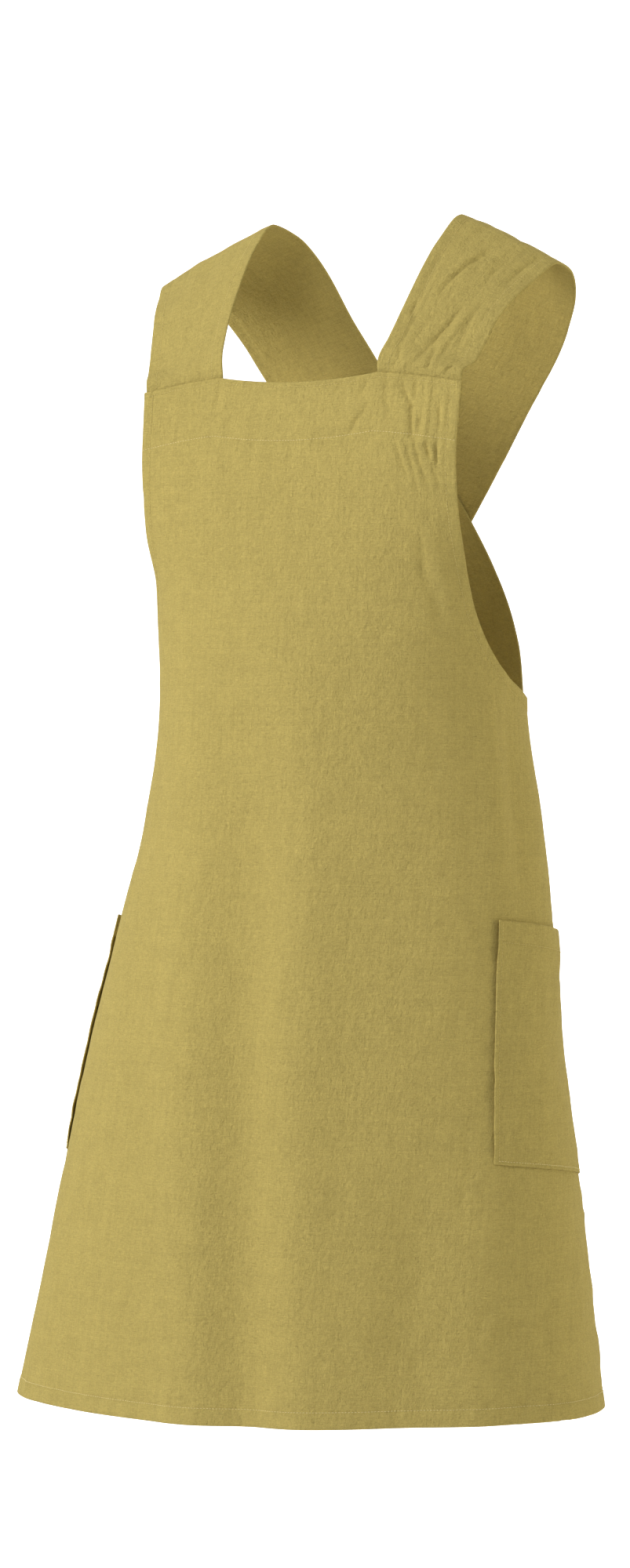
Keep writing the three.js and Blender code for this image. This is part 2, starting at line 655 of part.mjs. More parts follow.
const apron = new THREE.Group();
apron.name = "cross_back_apron";
const onCloth = ([across, drop], offset) => cloth(across, drop, offset);
const body = bodySheet();
apron.add(mesh("apron_body", solid(body.places, body.quads, onCloth, BODY_WALL), tones.body));
const facing = facingSheet();
apron.add(mesh("bib_facing", solid(facing.places, facing.quads, insideBody, TURN_WALL), tones.turn));
const bottom = bottomSheet();
apron.add(mesh("bottom_hem", solid(bottom.places, bottom.quads, insideBody, TURN_WALL), tones.turn));
for (const [word, side] of [["left", 1], ["right", -1]]) {
  apron.add(mesh(`strap_${word}`, strapSolid(side), tones.strap));
  const armhole = armholeSheet(side);
  const insideCurve = (place, offset) => insideBody(place, offset - CURVE_CLEARANCE);
  apron.add(mesh(`armhole_hem_${word}`, solid(armhole.places, armhole.quads, insideCurve, TURN_WALL), tones.turn));
  const back = backSheet(side);
  apron.add(mesh(`back_hem_${word}`, solid(back.places, back.quads, insideBody, TURN_WALL), tones.turn));
  const pocket = pocketSheet(side, [0, 0.09, 0.2, 0.35, 0.5, 0.67, 0.84, 1], 14, 0, 0);
  apron.add(mesh(`pocket_${word}`, solid(pocket.sheet.places, pocket.sheet.quads, pocket.at, POCKET_WALL), tones.pocket));
  const turn = POCKET_TURN / POCKET_HEIGHT;
  const hem = pocketSheet(side, [0, turn], 14, CLEARANCE, -(POCKET_WALL / 2 + CLEARANCE + TURN_WALL / 2));
  apron.add(mesh(`pocket_hem_${word}`, solid(hem.sheet.places, hem.sheet.quads, hem.at, TURN_WALL), tones.turn));
}

export default apron;
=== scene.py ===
"""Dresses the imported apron: linen body, facing, straps, pockets, turned hems and stitches."""

import math

import bpy
import numpy as np
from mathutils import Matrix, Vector


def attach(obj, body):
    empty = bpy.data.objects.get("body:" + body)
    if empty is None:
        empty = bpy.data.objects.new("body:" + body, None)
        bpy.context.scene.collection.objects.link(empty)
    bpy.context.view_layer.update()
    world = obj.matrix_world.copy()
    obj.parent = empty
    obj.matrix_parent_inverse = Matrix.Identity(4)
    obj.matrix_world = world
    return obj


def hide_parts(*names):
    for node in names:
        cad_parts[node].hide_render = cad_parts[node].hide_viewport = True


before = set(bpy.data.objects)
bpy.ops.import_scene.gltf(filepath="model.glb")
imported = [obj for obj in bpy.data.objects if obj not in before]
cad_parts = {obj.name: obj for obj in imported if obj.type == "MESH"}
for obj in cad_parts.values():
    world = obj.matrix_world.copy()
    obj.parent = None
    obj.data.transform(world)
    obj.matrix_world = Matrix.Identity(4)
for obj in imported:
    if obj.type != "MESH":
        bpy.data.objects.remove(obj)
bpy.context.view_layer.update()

# Sizes of the apron in millimetres, the same as the solids have but for thinner walls and clearance
MM = 0.001
LENGTH = 1005
HEM_WIDTH = 536
HEM_FRONT = 278
HEM_BACK = 69
HEM_LIFT = 6
BACK_GAP = 124
BACK_GAP_AT_HEM = 150
BIB_DROP = 132
BIB_WIDTH = 306
BIB_CORNER_FALL = 4
NECK_WIDTH = 151
NECK_RISE = 6
ARMHOLE_DROP = 420
FACING_DEPTH = 50
STRAP_END_WIDTH = 110
STRAP_TUCK = 13
STRAP_BOW = 2
SHOULDER_WIDTH = 382
SHOULDER_DEPTH = 200
POCKET_WIDTH = 170
POCKET_HEIGHT = 200
POCKET_DROP = 589
POCKET_FROM_FRONT = 206
POCKET_SLANT = 16
POCKET_TIP = 17
RIGHT_POCKET_BACK = 14
POCKET_GAPE = 1.2
BOTTOM_TURN = 14
ARMHOLE_TURN = 10
BACK_TURN = 12
POCKET_TURN = 18
BODY_WALL = 1.2
STRAP_WALL = 1.9
TURN_WALL = 0.9
POCKET_WALL = 1.2
CLEARANCE = 0.5

# Level curves: drop, width, front, side, back, width power, depth power
SECTIONS = np.array([
    (0.10, 0.777, 0.460, 0.153, 1.158, 0.80, 0.18),
    (0.13, 0.775, 0.463, 0.156, 1.158, 0.80, 0.20),
    (0.19, 0.752, 0.516, 0.163, 1.231, 0.80, 0.42),
    (0.25, 0.673, 0.542, 0.148, 1.241, 0.82, 0.50),
    (0.30, 0.606, 0.559, 0.135, 1.218, 0.85, 0.60),
    (0.35, 0.599, 0.589, 0.147, 1.142, 0.89, 0.72),
    (0.40, 0.604, 0.604, 0.165, 1.065, 0.92, 0.85),
    (0.50, 0.667, 0.632, 0.169, 1.037, 0.95, 0.92),
    (0.60, 0.736, 0.706, 0.230, 1.083, 0.97, 0.96),
    (0.70, 0.799, 0.798, 0.335, 1.023, 1.00, 1.00),
    (0.80, 0.874, 0.870, 0.375, 1.010, 1.00, 1.00),
    (0.90, 0.936, 0.940, 0.410, 1.016, 1.00, 1.00),
    (1.00, 1.000, 0.999, 0.453, 0.998, 1.00, 1.00),
])

# Armhole edge from the bib corner to the back corner: down, out
ARMHOLE = np.array([
    (0.000, 0.000), (0.100, -0.003), (0.200, -0.004), (0.353, 0.003), (0.540, 0.036), (0.633, 0.068),
    (0.719, 0.118), (0.813, 0.204), (0.863, 0.276), (0.914, 0.420), (0.950, 0.600), (0.978, 0.800),
    (1.000, 1.000),
])
ARMHOLE_TURNING_ROW = 8

# Broad folds: across, top, across at the end, end, width, height
FOLDS = (
    (-0.200, 0.36, -0.040, 1.00, 0.120, 0.0120),
    (-0.070, 0.36, 0.055, 1.00, 0.110, -0.0140),
    (0.020, 0.30, 0.140, 1.00, 0.120, 0.0130),
    (0.345, 0.36, 0.400, 0.60, 0.070, 0.0160),
    (0.400, 0.38, 0.445, 0.60, 0.065, -0.0160),
    (0.210, 0.76, 0.215, 1.04, 0.110, 0.0100),
    (0.300, 0.74, 0.315, 1.04, 0.110, -0.0190),
    (0.400, 0.72, 0.425, 1.04, 0.100, 0.0150),
    (-0.450, 0.60, -0.600, 1.04, 0.170, -0.0150),
    (-0.620, 0.48, -0.800, 1.04, 0.160, 0.0200),
    (0.640, 0.48, 0.830, 1.04, 0.160, 0.0220),
    (0.740, 0.55, 0.980, 1.04, 0.140, -0.0180),
    (-0.740, 0.55, -0.990, 1.04, 0.140, -0.0180),
)

FRONT_FOLDS = 3
FRONT_FOLD_DEPTH = 2.1

# Creases of the body in millimetres: across, drop, across, drop, width, height
CREASES = (
    (42, 134, 36, 142, 2.4, -0.8),
    (66, 134, 60, 144, 2.4, -0.9),
    (70, 152, 60, 166, 2.4, -1.1),
    (60, 166, 56, 176, 2.4, -1.2),
    (76, 142, 69, 156, 3.0, 0.5),
    (84, 130, 85, 152, 2.6, -0.8),
    (85, 152, 91, 160, 2.4, -0.6),
    (99, 134, 102, 144, 2.2, -0.9),
    (102, 144, 109, 156, 2.2, -1.1),
    (109, 156, 112, 180, 2.4, -1.6),
    (112, 134, 111, 148, 2.2, -1.1),
    (118, 166, 117, 182, 2.2, -1.1),
    (124, 138, 124, 180, 2.4, 1.0),
    (135, 156, 137, 174, 2.0, -0.9),
    (139, 148, 139, 172, 2.0, 0.7),
    (99, 188, 109, 212, 2.2, -0.8),
    (104, 190, 114, 214, 2.4, 0.5),
    (108, 186, 120, 226, 2.2, -0.8),
    (114, 182, 120, 202, 2.2, -1.1),
    (120, 202, 129, 222, 2.4, -0.7),
    (126, 188, 130, 200, 2.2, -1.5),
    (131, 190, 133, 204, 2.0, 0.7),
    (135, 188, 136, 206, 2.2, -1.5),
    (132, 206, 139, 224, 2.0, -0.8),
    (118, 214, 126, 232, 2.6, 0.4),
    (123, 266, 125, 293, 4.0, -0.9),
    (125, 293, 142, 336, 6.0, -1.0),
    (130, 270, 150, 322, 8.0, 0.8),
    (-76, 131, -79, 150, 3.0, -0.7),
    (-66, 152, -76, 160, 2.8, -0.5),
    (-110, 160, -104, 186, 5.0, 0.4),
    (-20, 420, 34, 446, 6.0, -0.5),
    (40, 380, 62, 402, 6.0, -0.5),
    (88, 402, 108, 440, 6.0, -0.4),
    (212, 384, 196, 428, 8.0, 0.8),
    (150, 930, 172, 950, 4.0, -1.1),
    (172, 880, 158, 902, 4.0, -0.8),
    (190, 900, 172, 930, 5.0, 0.8),
    (236, 930, 262, 918, 3.4, -1.1),
    (244, 938, 270, 926, 3.6, 0.9),
    (205, 945, 230, 905, 4.0, -0.9),
    (60, 862, 96, 884, 4.0, -0.9),
    (62, 872, 98, 895, 4.0, 0.8),
    (236, 792, 250, 806, 3.0, -0.9),
    (196, 770, 204, 796, 3.0, -0.8),
    (200, 800, 196, 826, 3.0, -0.7),
    (300, 794, 318, 816, 4.0, -0.6),
    (-150, 640, -120, 690, 9.0, -0.5),
    (-236, 792, -250, 808, 4.0, -0.6),
)

# Edges of the strap over the shoulder: along, neck x y z, arm x y z
SHOULDER = np.array([
    (0.020, 0.194, -0.670, -0.96, 0.390, -0.640, -1.05),
    (0.065, 0.211, -0.565, -0.71, 0.414, -0.530, -0.88),
    (0.127, 0.224, -0.435, -0.44, 0.434, -0.395, -0.60),
    (0.215, 0.236, -0.190, -0.04, 0.472, -0.195, -0.34),
    (0.271, 0.241, 0.000, 0.135, 0.493, -0.050, -0.22),
    (0.320, 0.230, 0.170, 0.08, 0.485, 0.110, -0.25),
    (0.374, 0.199, 0.310, -0.12, 0.461, 0.250, -0.39),
    (0.436, 0.152, 0.380, -0.43, 0.408, 0.350, -0.66),
    (0.520, 0.060, 0.400, -0.86, 0.330, 0.390, -1.10),
])
STRAP_LEAVES_BIB = (0.022, 0.062)
STRAP_MEETS_BACK = (0.41, 0.50)
STRAP_LENGTH = 741
STRAP_MEAN_WIDTH = 92
CREASE_SPAN = 90

# Creases of the straps: along mm, share across, along mm, share across, width, height
STRAP_CREASES = {
    1: (
        (168, 0.07, 133, 0.10, 3.0, -0.6), (133, 0.10, 94, 0.12, 3.0, -0.7), (88, 0.11, 75, 0.11, 2.4, -1.3),
        (166, 0.49, 150, 0.43, 2.4, -1.0), (150, 0.43, 127, 0.35, 2.4, -1.3),
        (127, 0.35, 102, 0.29, 2.6, -1.1),
        (162, 0.40, 120, 0.28, 4.0, 0.8), (186, 0.87, 164, 0.84, 2.4, -1.1),
        (164, 0.84, 141, 0.84, 2.4, -1.0),
        (92, 0.60, 76, 0.55, 2.4, -1.0), (76, 0.55, 57, 0.48, 2.4, -1.2), (57, 0.48, 38, 0.44, 2.4, -1.0),
        (88, 0.68, 50, 0.58, 3.4, 0.7), (56, 0.66, 43, 0.65, 3.0, -0.7), (48, 0.52, 29, 0.60, 2.4, -0.9),
        (29, 0.60, 14, 0.55, 2.2, -1.2), (40, 0.17, 24, 0.27, 2.2, -0.9), (28, 0.20, 12, 0.16, 2.2, -1.1),
        (23, 0.51, 12, 0.47, 2.2, -1.1), (31, 0.86, 15, 0.79, 2.2, -1.2), (30, 0.80, 16, 0.73, 2.2, 0.8),
        (40, 0.43, 20, 0.28, 2.4, 0.9), (74, 0.17, 48, 0.15, 2.6, -0.9), (104, 0.76, 72, 0.71, 3.4, -0.7),
        (146, 0.66, 122, 0.66, 3.0, -0.6), (84, 0.75, 56, 0.74, 3.0, -0.6), (84, 0.40, 52, 0.27, 3.0, -0.7),
        (160, 0.67, 140, 0.65, 3.0, -0.7), (110, 0.50, 70, 0.36, 4.0, 0.5), (180, 0.60, 150, 0.56, 3.0, 0.6),
        (190, 0.30, 168, 0.26, 3.0, -0.6), (205, 0.55, 260, 0.60, 5.0, -0.8),
        (205, 0.20, 268, 0.25, 5.0, 0.7),
    ),
    -1: (
        (24, 0.70, 60, 0.80, 4.0, -0.4), (120, 0.40, 180, 0.46, 6.0, -0.5), (150, 0.62, 200, 0.66, 6.0, 0.5),
        (205, 0.40, 262, 0.42, 5.0, -0.7),
    ),
}


# Shared maths on arrays
def mix(a, b, t):
    return a + (b - a) * t


def smooth(low, high, value):
    t = np.clip((value - low) / (high - low), 0.0, 1.0)
    return t * t * (3 - 2 * t)


def unit(v):
    return v / np.linalg.norm(v, axis=-1, keepdims=True)


def curve(knots, values):
    x = np.asarray(knots, float)
    y = np.asarray(values, float)
    step = np.diff(x)
    slope = np.diff(y) / step
    tangent = np.empty(len(x))
    tangent[0], tangent[-1] = slope[0], slope[-1]
    for i in range(1, len(x) - 1):
        if slope[i - 1] * slope[i] <= 0:
            tangent[i] = 0
        else:
            before = 2 * step[i] + step[i - 1]
            after = step[i] + 2 * step[i - 1]
            tangent[i] = (before + after) / (before / slope[i - 1] + after / slope[i])

    def at(value):
        v = np.clip(value, x[0], x[-1])
        i = np.clip(np.searchsorted(x, v, side="right") - 1, 0, len(x) - 2)
        t = (v - x[i]) / step[i]
        u = 1 - t
        bend = step[i] * t * u * (tangent[i] * u - tangent[i + 1] * t)
        return y[i] * (1 + 2 * t) * u * u + y[i + 1] * (3 - 2 * t) * t * t + bend

    return at


def lattice_noise(x, y, seed):
    """Smooth random heights from -1 to 1, one lattice cell a unit."""
    rng = np.random.default_rng(seed)
    table = rng.uniform(-1, 1, (256, 256))
    xi = np.floor(x).astype(int)
    yi = np.floor(y).astype(int)
    tx, ty = x - xi, y - yi
    sx = tx * tx * tx * (tx * (tx * 6 - 15) + 10)
    sy = ty * ty * ty * (ty * (ty * 6 - 15) + 10)
    a = table[xi % 256, yi % 256]
    b = table[(xi + 1) % 256, yi % 256]
    c = table[xi % 256, (yi + 1) % 256]
    d = table[(xi + 1) % 256, (yi + 1) % 256]
    return mix(mix(a, b, sx), mix(c, d, sx), sy)


# The wrap: level curves at even drops, each sampled at even shares of its length
RING_SPACING = 2.5
RING_SAMPLES = 900
ring_drops = np.arange(0, LENGTH * 1.07, RING_SPACING)
columns = [curve(SECTIONS[:, 0], SECTIONS[:, k])(ring_drops / LENGTH) for k in range(1, 7)]
ring_x, ring_y, ring_half = [], [], []
angle = np.linspace(0, math.pi, 1801)
for width, front, side, back, width_power, depth_power in zip(*columns):
    x = width * HEM_WIDTH / 2 * np.clip(np.sin(angle), 0, 1) ** width_power
    reach = np.abs(np.cos(angle)) ** depth_power
    middle = -side * HEM_FRONT
    y = middle + (np.where(angle <= math.pi / 2, -front * HEM_FRONT, back * HEM_BACK) - middle) * reach
    length = np.concatenate([[0], np.cumsum(np.hypot(np.diff(x), np.diff(y)))])
    even = np.linspace(0, length[-1], RING_SAMPLES + 1)
    ring_x.append(np.interp(even, length, x))
    ring_y.append(np.interp(even, length, y))
    ring_half.append(length[-1])
ring_x, ring_y, ring_half = np.array(ring_x), np.array(ring_y), np.array(ring_half)


def half_girth(drop):
    return np.interp(drop, ring_drops, ring_half)


def wrap(across, drop):
    across, drop = np.broadcast_arrays(np.asarray(across, float), np.asarray(drop, float))
    row = np.clip(drop / RING_SPACING, 0, len(ring_drops) - 1.001)
    place = np.clip(np.abs(across) / half_girth(drop), 0, 1) * (RING_SAMPLES - 0.001)
    i, k = np.floor(row).astype(int), np.floor(place).astype(int)
    u, v = row - i, place - k

    def at(table):
        return mix(mix(table[i, k], table[i, k + 1], v), mix(table[i + 1, k], table[i + 1, k + 1], v), u)

    return np.stack([np.sign(across) * at(ring_x), at(ring_y), -drop], -1)


def fold_height(across, drop, front_depth=1.0):
    height = np.zeros(np.shape(across))
    for row, (middle, top, middle_end, end, width, rise) in enumerate(FOLDS):
        rise = rise * (front_depth if row < FRONT_FOLDS else 1.0)
        t = (drop / LENGTH - top) / (end - top)
        away = (across - mix(middle, middle_end, t) * HEM_WIDTH) / (width * HEM_FRONT)
        fade = 1 - smooth(0.75, 1, t) if end < 0.9 else 1
        ridge = rise * HEM_FRONT * np.exp(-away * away) * smooth(0, 0.45, t) * fade
        height = height + ridge * (t > 0) * (t < 1.15)
    return height


def crease_height(u, v, rows, u_scale=1.0):
    """Soft ridges and valleys along short lines; a line fades out towards both ends."""
    u, v = np.broadcast_arrays(np.asarray(u, float), np.asarray(v, float))
    height = np.zeros(u.shape)
    for ua, va, ub, vb, width, rise in rows:
        au, bu = ua * u_scale, ub * u_scale
        run_u, run_v = bu - au, vb - va
        length = math.hypot(run_u, run_v)
        reach = 0.4 * length + 3 * width
        close = np.abs(u * u_scale - (au + bu) / 2) < abs(run_u) / 2 + reach
        close &= np.abs(v - (va + vb) / 2) < abs(run_v) / 2 + reach
        near_u, near_v = u[close] * u_scale - au, v[close] - va
        t = (near_u * run_u + near_v * run_v) / (length * length)
        held = np.clip(t, -0.2, 1.2)
        gap = np.hypot(near_u - held * run_u, near_v - held * run_v)
        fade = smooth(-0.35, 0.2, t) * (1 - smooth(0.8, 1.35, t))
        height[close] += rise * np.exp(-((gap / width) ** 2)) * fade
    return height


def seeded_creases(count, seed, u_range, v_range, lean):
    """Short soft crinkles of washed linen."""
    rng = np.random.default_rng(seed)
    rows = []
    for _ in range(count):
        u, v = rng.uniform(*u_range), rng.uniform(*v_range)
        turn = rng.normal(lean, 0.6)
        run = rng.uniform(9, 26)
        rise = rng.choice([-1, 1]) * rng.uniform(0.15, 0.42)
        rows.append((u, v, u + run * math.sin(turn), v + run * math.cos(turn), rng.uniform(3, 6.5), rise))
    return rows


# Outline in cloth coordinates
def bib_top(across):
    away = np.abs(across)
    neck = NECK_WIDTH / 2
    inner = BIB_DROP - NECK_RISE * (away / neck) ** 2
    t = np.clip((away - neck) / (BIB_WIDTH / 2 - neck), 0, None)
    outer = BIB_DROP - NECK_RISE + (NECK_RISE + BIB_CORNER_FALL) * t ** 1.3
    return np.where(away <= neck, inner, outer)


def back_edge(drop):
    t = np.clip((drop - ARMHOLE_DROP) / (LENGTH - ARMHOLE_DROP), 0, 1)
    return half_girth(drop) - mix(BACK_GAP, BACK_GAP_AT_HEM, t) / 2


def hem_drop(across):
    turn = np.cos(math.pi * np.clip(2 * np.abs(across) / float(back_edge(LENGTH)), 0, 1))
    return LENGTH - HEM_LIFT * (0.5 - 0.5 * turn)


BACK_LENGTH = LENGTH - HEM_LIFT
HEM_EDGE = float(back_edge(BACK_LENGTH))


armhole_knots = np.concatenate([[0], np.cumsum(np.hypot(np.diff(ARMHOLE[:, 0]), np.diff(ARMHOLE[:, 1])))])
ARMHOLE_RUN = armhole_knots[-1]
TURNING_RUN = armhole_knots[ARMHOLE_TURNING_ROW]
BIB_CORNER = (BIB_WIDTH / 2, float(bib_top(BIB_WIDTH / 2)))
BACK_CORNER = (float(back_edge(ARMHOLE_DROP)), ARMHOLE_DROP)
armhole_down = curve(armhole_knots, ARMHOLE[:, 0])
armhole_out = curve(armhole_knots, ARMHOLE[:, 1])


def armhole(run):
    across = mix(BIB_CORNER[0], BACK_CORNER[0], armhole_out(run))
    return np.stack([across, mix(BIB_CORNER[1], BACK_CORNER[1], armhole_down(run))], -1)


def armhole_inside(run, depth):
    ahead = armhole(np.clip(run + 0.004, 0, ARMHOLE_RUN))
    behind = armhole(np.clip(run - 0.004, 0, ARMHOLE_RUN))
    way = unit(ahead - behind)
    return armhole(run) + np.stack([-way[..., 1], way[..., 0]], -1) * np.asarray(depth)[..., None]


# Even stations along the armhole by cloth length
dense_runs = np.linspace(0, ARMHOLE_RUN, 4001)
dense_edge = armhole(dense_runs)
dense_length = np.concatenate([[0], np.cumsum(np.linalg.norm(np.diff(dense_edge, axis=0), axis=1))])
TURNING_LENGTH = float(np.interp(TURNING_RUN, dense_runs, dense_length))
ARMHOLE_LENGTH = float(dense_length[-1])


def run_at(length):
    return np.interp(length, dense_length, dense_runs)


def distance_to_armhole(across, drop):
    """Cloth distance from points to the armhole edge."""
    points = np.stack([np.abs(across).ravel(), drop.ravel()], -1)
    edge = dense_edge[::12]
    best = np.full(len(points), 1e9)
    for start in range(0, len(points), 20000):
        block = points[start:start + 20000]
        gap = np.linalg.norm(block[:, None, :] - edge[None, :, :], axis=2)
        best[start:start + 20000] = gap.min(axis=1)
    return best.reshape(np.shape(across))


body_crinkles = seeded_creases(420, 11, (-420, 420), (140, 985), 0.0)


def cloth_detail(across, drop):
    """Fine relief of the body: crinkles, puckers at the seams, slack between the folds."""
    height = 1.55 * crease_height(across, drop, CREASES)
    lower_right = smooth(40, 130, across) * smooth(760, 900, drop)
    height += crease_height(across, drop, body_crinkles) * (1.7 + 3.0 * lower_right)
    height += 1.0 * lattice_noise(across / 58 + 7, drop / 120 + 3, 1)
    height += 0.35 * lattice_noise(across / 23 + 1, drop / 38 + 9, 2)
    height += 0.12 * lattice_noise(across / 9 + 4, drop / 11 + 2, 3)
    to_hem = hem_drop(across) - drop
    pucker = lattice_noise(across / 7.5, drop / 60, 4) + 0.6 * lattice_noise(across / 19, drop / 90, 5)
    height += 0.85 * pucker * np.exp(-(((to_hem - BOTTOM_TURN) / 9) ** 2))
    facing = drop - bib_top(across) - FACING_DEPTH
    pucker = 0.3 * lattice_noise(across / 8.5 + 30, drop / 50, 6) * np.exp(-((facing / 8) ** 2))
    height += pucker * (np.abs(across) < 160)
    rim = drop - bib_top(across)
    pucker = 0.2 * lattice_noise(across / 7 + 50, drop / 50, 7) * np.exp(-(((rim - 4) / 5) ** 2))
    height += pucker * (np.abs(across) < 155)
    return height


def cloth_middle(across, drop, detail=True):
    point = wrap(across, drop)
    step = 3.0
    before, after = wrap(across - step, drop), wrap(across + step, drop)
    level = np.zeros(np.shape(point[..., 0]))
    out = np.stack([after[..., 1] - before[..., 1], before[..., 0] - after[..., 0], level], -1)
    height = fold_height(across, drop, FRONT_FOLD_DEPTH if detail else 1)
    if detail:
        height = height + cloth_detail(across, drop)
    return point + unit(out) * height[..., None]


def outward(place, u, v, step=1.5):
    across = place(u + step, v) - place(u - step, v)
    down = place(u, v + step) - place(u, v - step)
    return unit(np.cross(down, across))


def cloth(across, drop, offset, detail=True):
    def place(u, v):
        return cloth_middle(u, v, detail)

    return place(across, drop) + outward(place, across, drop) * np.asarray(offset)[..., None]


# Sheets of cloth as meshes with two faces, a rounded rim and a cloth UV map in metres
collection = bpy.context.scene.collection


def sheet_mesh(name, middle, normal, quads, flat, wall, material):
    """middle and normal are arrays of points, flat the same points laid out in millimetres."""
    count = len(middle)
    quads = np.asarray(quads)
    wall = np.broadcast_to(np.asarray(wall, float), (count,))[:, None]
    edges = {}
    for q in quads:
        for a, b in zip(q, np.roll(q, -1)):
            edges[(int(a), int(b))] = True
    rim = [(a, b) for (a, b) in edges if (b, a) not in edges]
    centre = middle[quads].mean(axis=1)
    pull = np.zeros((count, 3))
    times = np.zeros((count, 1))
    for k in range(4):
        np.add.at(pull, quads[:, k], centre)
        np.add.at(times, quads[:, k], 1)
    away = middle - pull / times
    away -= normal * np.sum(away * normal, axis=1, keepdims=True)
    away = away / np.maximum(np.linalg.norm(away, axis=1, keepdims=True), 1e-9)
    rim_points = sorted({a for edge in rim for a in edge})
    rim_index = {p: 2 * count + i for i, p in enumerate(rim_points)}
    bulge = middle[rim_points] + away[rim_points] * wall[rim_points] * 0.5
    inset = np.zeros((count, 1))
    inset[rim_points] = 1
    base = middle - away * wall * 0.15 * inset
    points = np.concatenate([base + normal * wall / 2, base - normal * wall / 2, bulge])
    faces = [tuple(q) for q in quads] + [tuple(q[::-1] + count) for q in quads]
    for a, b in rim:
        faces.append((b, a, rim_index[a], rim_index[b]))
        faces.append((rim_index[b], rim_index[a], a + count, b + count))
    mesh = bpy.data.meshes.new(name)
    mesh.from_pydata((points * MM).tolist(), [], [tuple(int(i) for i in f) for f in faces])
    layout = np.concatenate([flat, flat, flat[rim_points]]) * MM
    layer = mesh.uv_layers.new(name="cloth")
    corners = np.empty(len(mesh.loops), dtype=np.int64)
    mesh.loops.foreach_get("vertex_index", corners)
    layer.data.foreach_set("uv", layout[corners].astype(np.float32).ravel())
    mesh.polygons.foreach_set("use_smooth", [True] * len(mesh.polygons))
    mesh.materials.append(material)
    mesh.validate()
    obj = bpy.data.objects.new(name, mesh)
    collection.objects.link(obj)
    return obj


def grid_quads(rows, width):
    index = np.arange(rows * width).reshape(rows, width)
    corners = [index[:-1, :-1], index[1:, :-1], index[1:, 1:], index[:-1, 1:]]
    return np.stack([c.ravel() for c in corners], -1)


def cloth_sheet(name, places, quads, offset, wall, material, detail=True):
    across, drop = places[:, 0], places[:, 1]

    def place(u, v):
        return cloth_middle(u, v, detail)

    normal = outward(place, across, drop)
    middle = place(across, drop) + normal * np.broadcast_to(offset, across.shape)[:, None]
    return sheet_mesh(name, middle, normal, quads, places, wall, material)


# Linen
def node(tree, kind, **values):
    made = tree.nodes.new(kind)
    for key, value in values.items():
        if key.startswith("in_"):
            made.inputs[key[3:].replace("_", " ")].default_value = value
        else:
            setattr(made, key, value)
    return made


def math_node(tree, operation, a, b=None):
    made = tree.nodes.new("ShaderNodeMath")
    made.operation = operation
    for socket, value in zip(made.inputs, (a, b)):
        if value is None:
            continue
        if hasattr(value, "is_output"):
            tree.links.new(value, socket)
        else:
            socket.default_value = value
    return made.outputs[0]


def stretched_noise(tree, uv, scale_u, scale_v, detail, roughness, shift=0.0):
    mapping = node(tree, "ShaderNodeMapping")
    mapping.inputs["Scale"].default_value = (scale_u, scale_v, 1)
    mapping.inputs["Location"].default_value = (shift, shift * 0.7, shift * 0.3)
    tree.links.new(uv, mapping.inputs["Vector"])
    noise = node(tree, "ShaderNodeTexNoise", in_Scale=1.0, in_Detail=detail, in_Roughness=roughness)
    tree.links.new(mapping.outputs["Vector"], noise.inputs["Vector"])
    return noise.outputs["Fac"]


def linen(name, colour, light, dark):
    material = bpy.data.materials.new(name)
    material.use_nodes = True
    tree = material.node_tree
    tree.nodes.clear()
    output = node(tree, "ShaderNodeOutputMaterial")
    shader = node(tree, "ShaderNodeBsdfPrincipled")
    tree.links.new(shader.outputs[0], output.inputs["Surface"])
    shader.inputs["Roughness"].default_value = 0.93
    shader.inputs["Specular IOR Level"].default_value = 0.06
    shader.inputs["Sheen Weight"].default_value = 0.04
    shader.inputs["Sheen Roughness"].default_value = 0.5
    shader.inputs["Sheen Tint"].default_value = (0.95, 0.84, 0.45, 1)
    uv = node(tree, "ShaderNodeUVMap", uv_map="cloth").outputs[0]
    warp = stretched_noise(tree, uv, 1250, 240, 3, 0.65)
    weft = stretched_noise(tree, uv, 180, 1350, 3, 0.65, 3.7)
    slub = stretched_noise(tree, uv, 16, 520, 2, 0.5, 9.1)
    rib = stretched_noise(tree, uv, 480, 12, 2, 0.5, 6.4)
    grain = stretched_noise(tree, uv, 1300, 1300, 3, 0.7, 5.3)
    patch = stretched_noise(tree, uv, 90, 60, 5, 0.62, 1.3)
    total = math_node(tree, "MULTIPLY", warp, 0.28)
    for source, share in ((weft, 0.36), (slub, 0.10), (rib, 0.12), (grain, 0.42)):
        total = math_node(tree, "ADD", total, math_node(tree, "MULTIPLY", source, share))
    tone = math_node(tree, "ADD", total, math_node(tree, "MULTIPLY", patch, 0.16))
    ramp = node(tree, "ShaderNodeValToRGB")
    ramp.color_ramp.elements[0].position = 0.52
    ramp.color_ramp.elements[0].color = (*dark, 1)
    ramp.color_ramp.elements[1].position = 0.92
    ramp.color_ramp.elements[1].color = (*light, 1)
    middle = ramp.color_ramp.elements.new(0.72)
    middle.color = (*colour, 1)
    tree.links.new(tone, ramp.inputs["Fac"])
    tree.links.new(ramp.outputs["Color"], shader.inputs["Base Color"])
    fine = node(tree, "ShaderNodeBump", in_Strength=1.0, in_Distance=0.0015)
    tree.links.new(total, fine.inputs["Height"])
    crinkle = stretched_noise(tree, uv, 230, 170, 4, 0.62, 2.2)
    soft = node(tree, "ShaderNodeBump", in_Strength=1.0, in_Distance=0.0018)
    tree.links.new(crinkle, soft.inputs["Height"])
    tree.links.new(fine.outputs["Normal"], soft.inputs["Normal"])
    tree.links.new(soft.outputs["Normal"], shader.inputs["Normal"])
    return material


def tint(colour, factor):
    return tuple(min(1.0, c * factor) for c in colour)


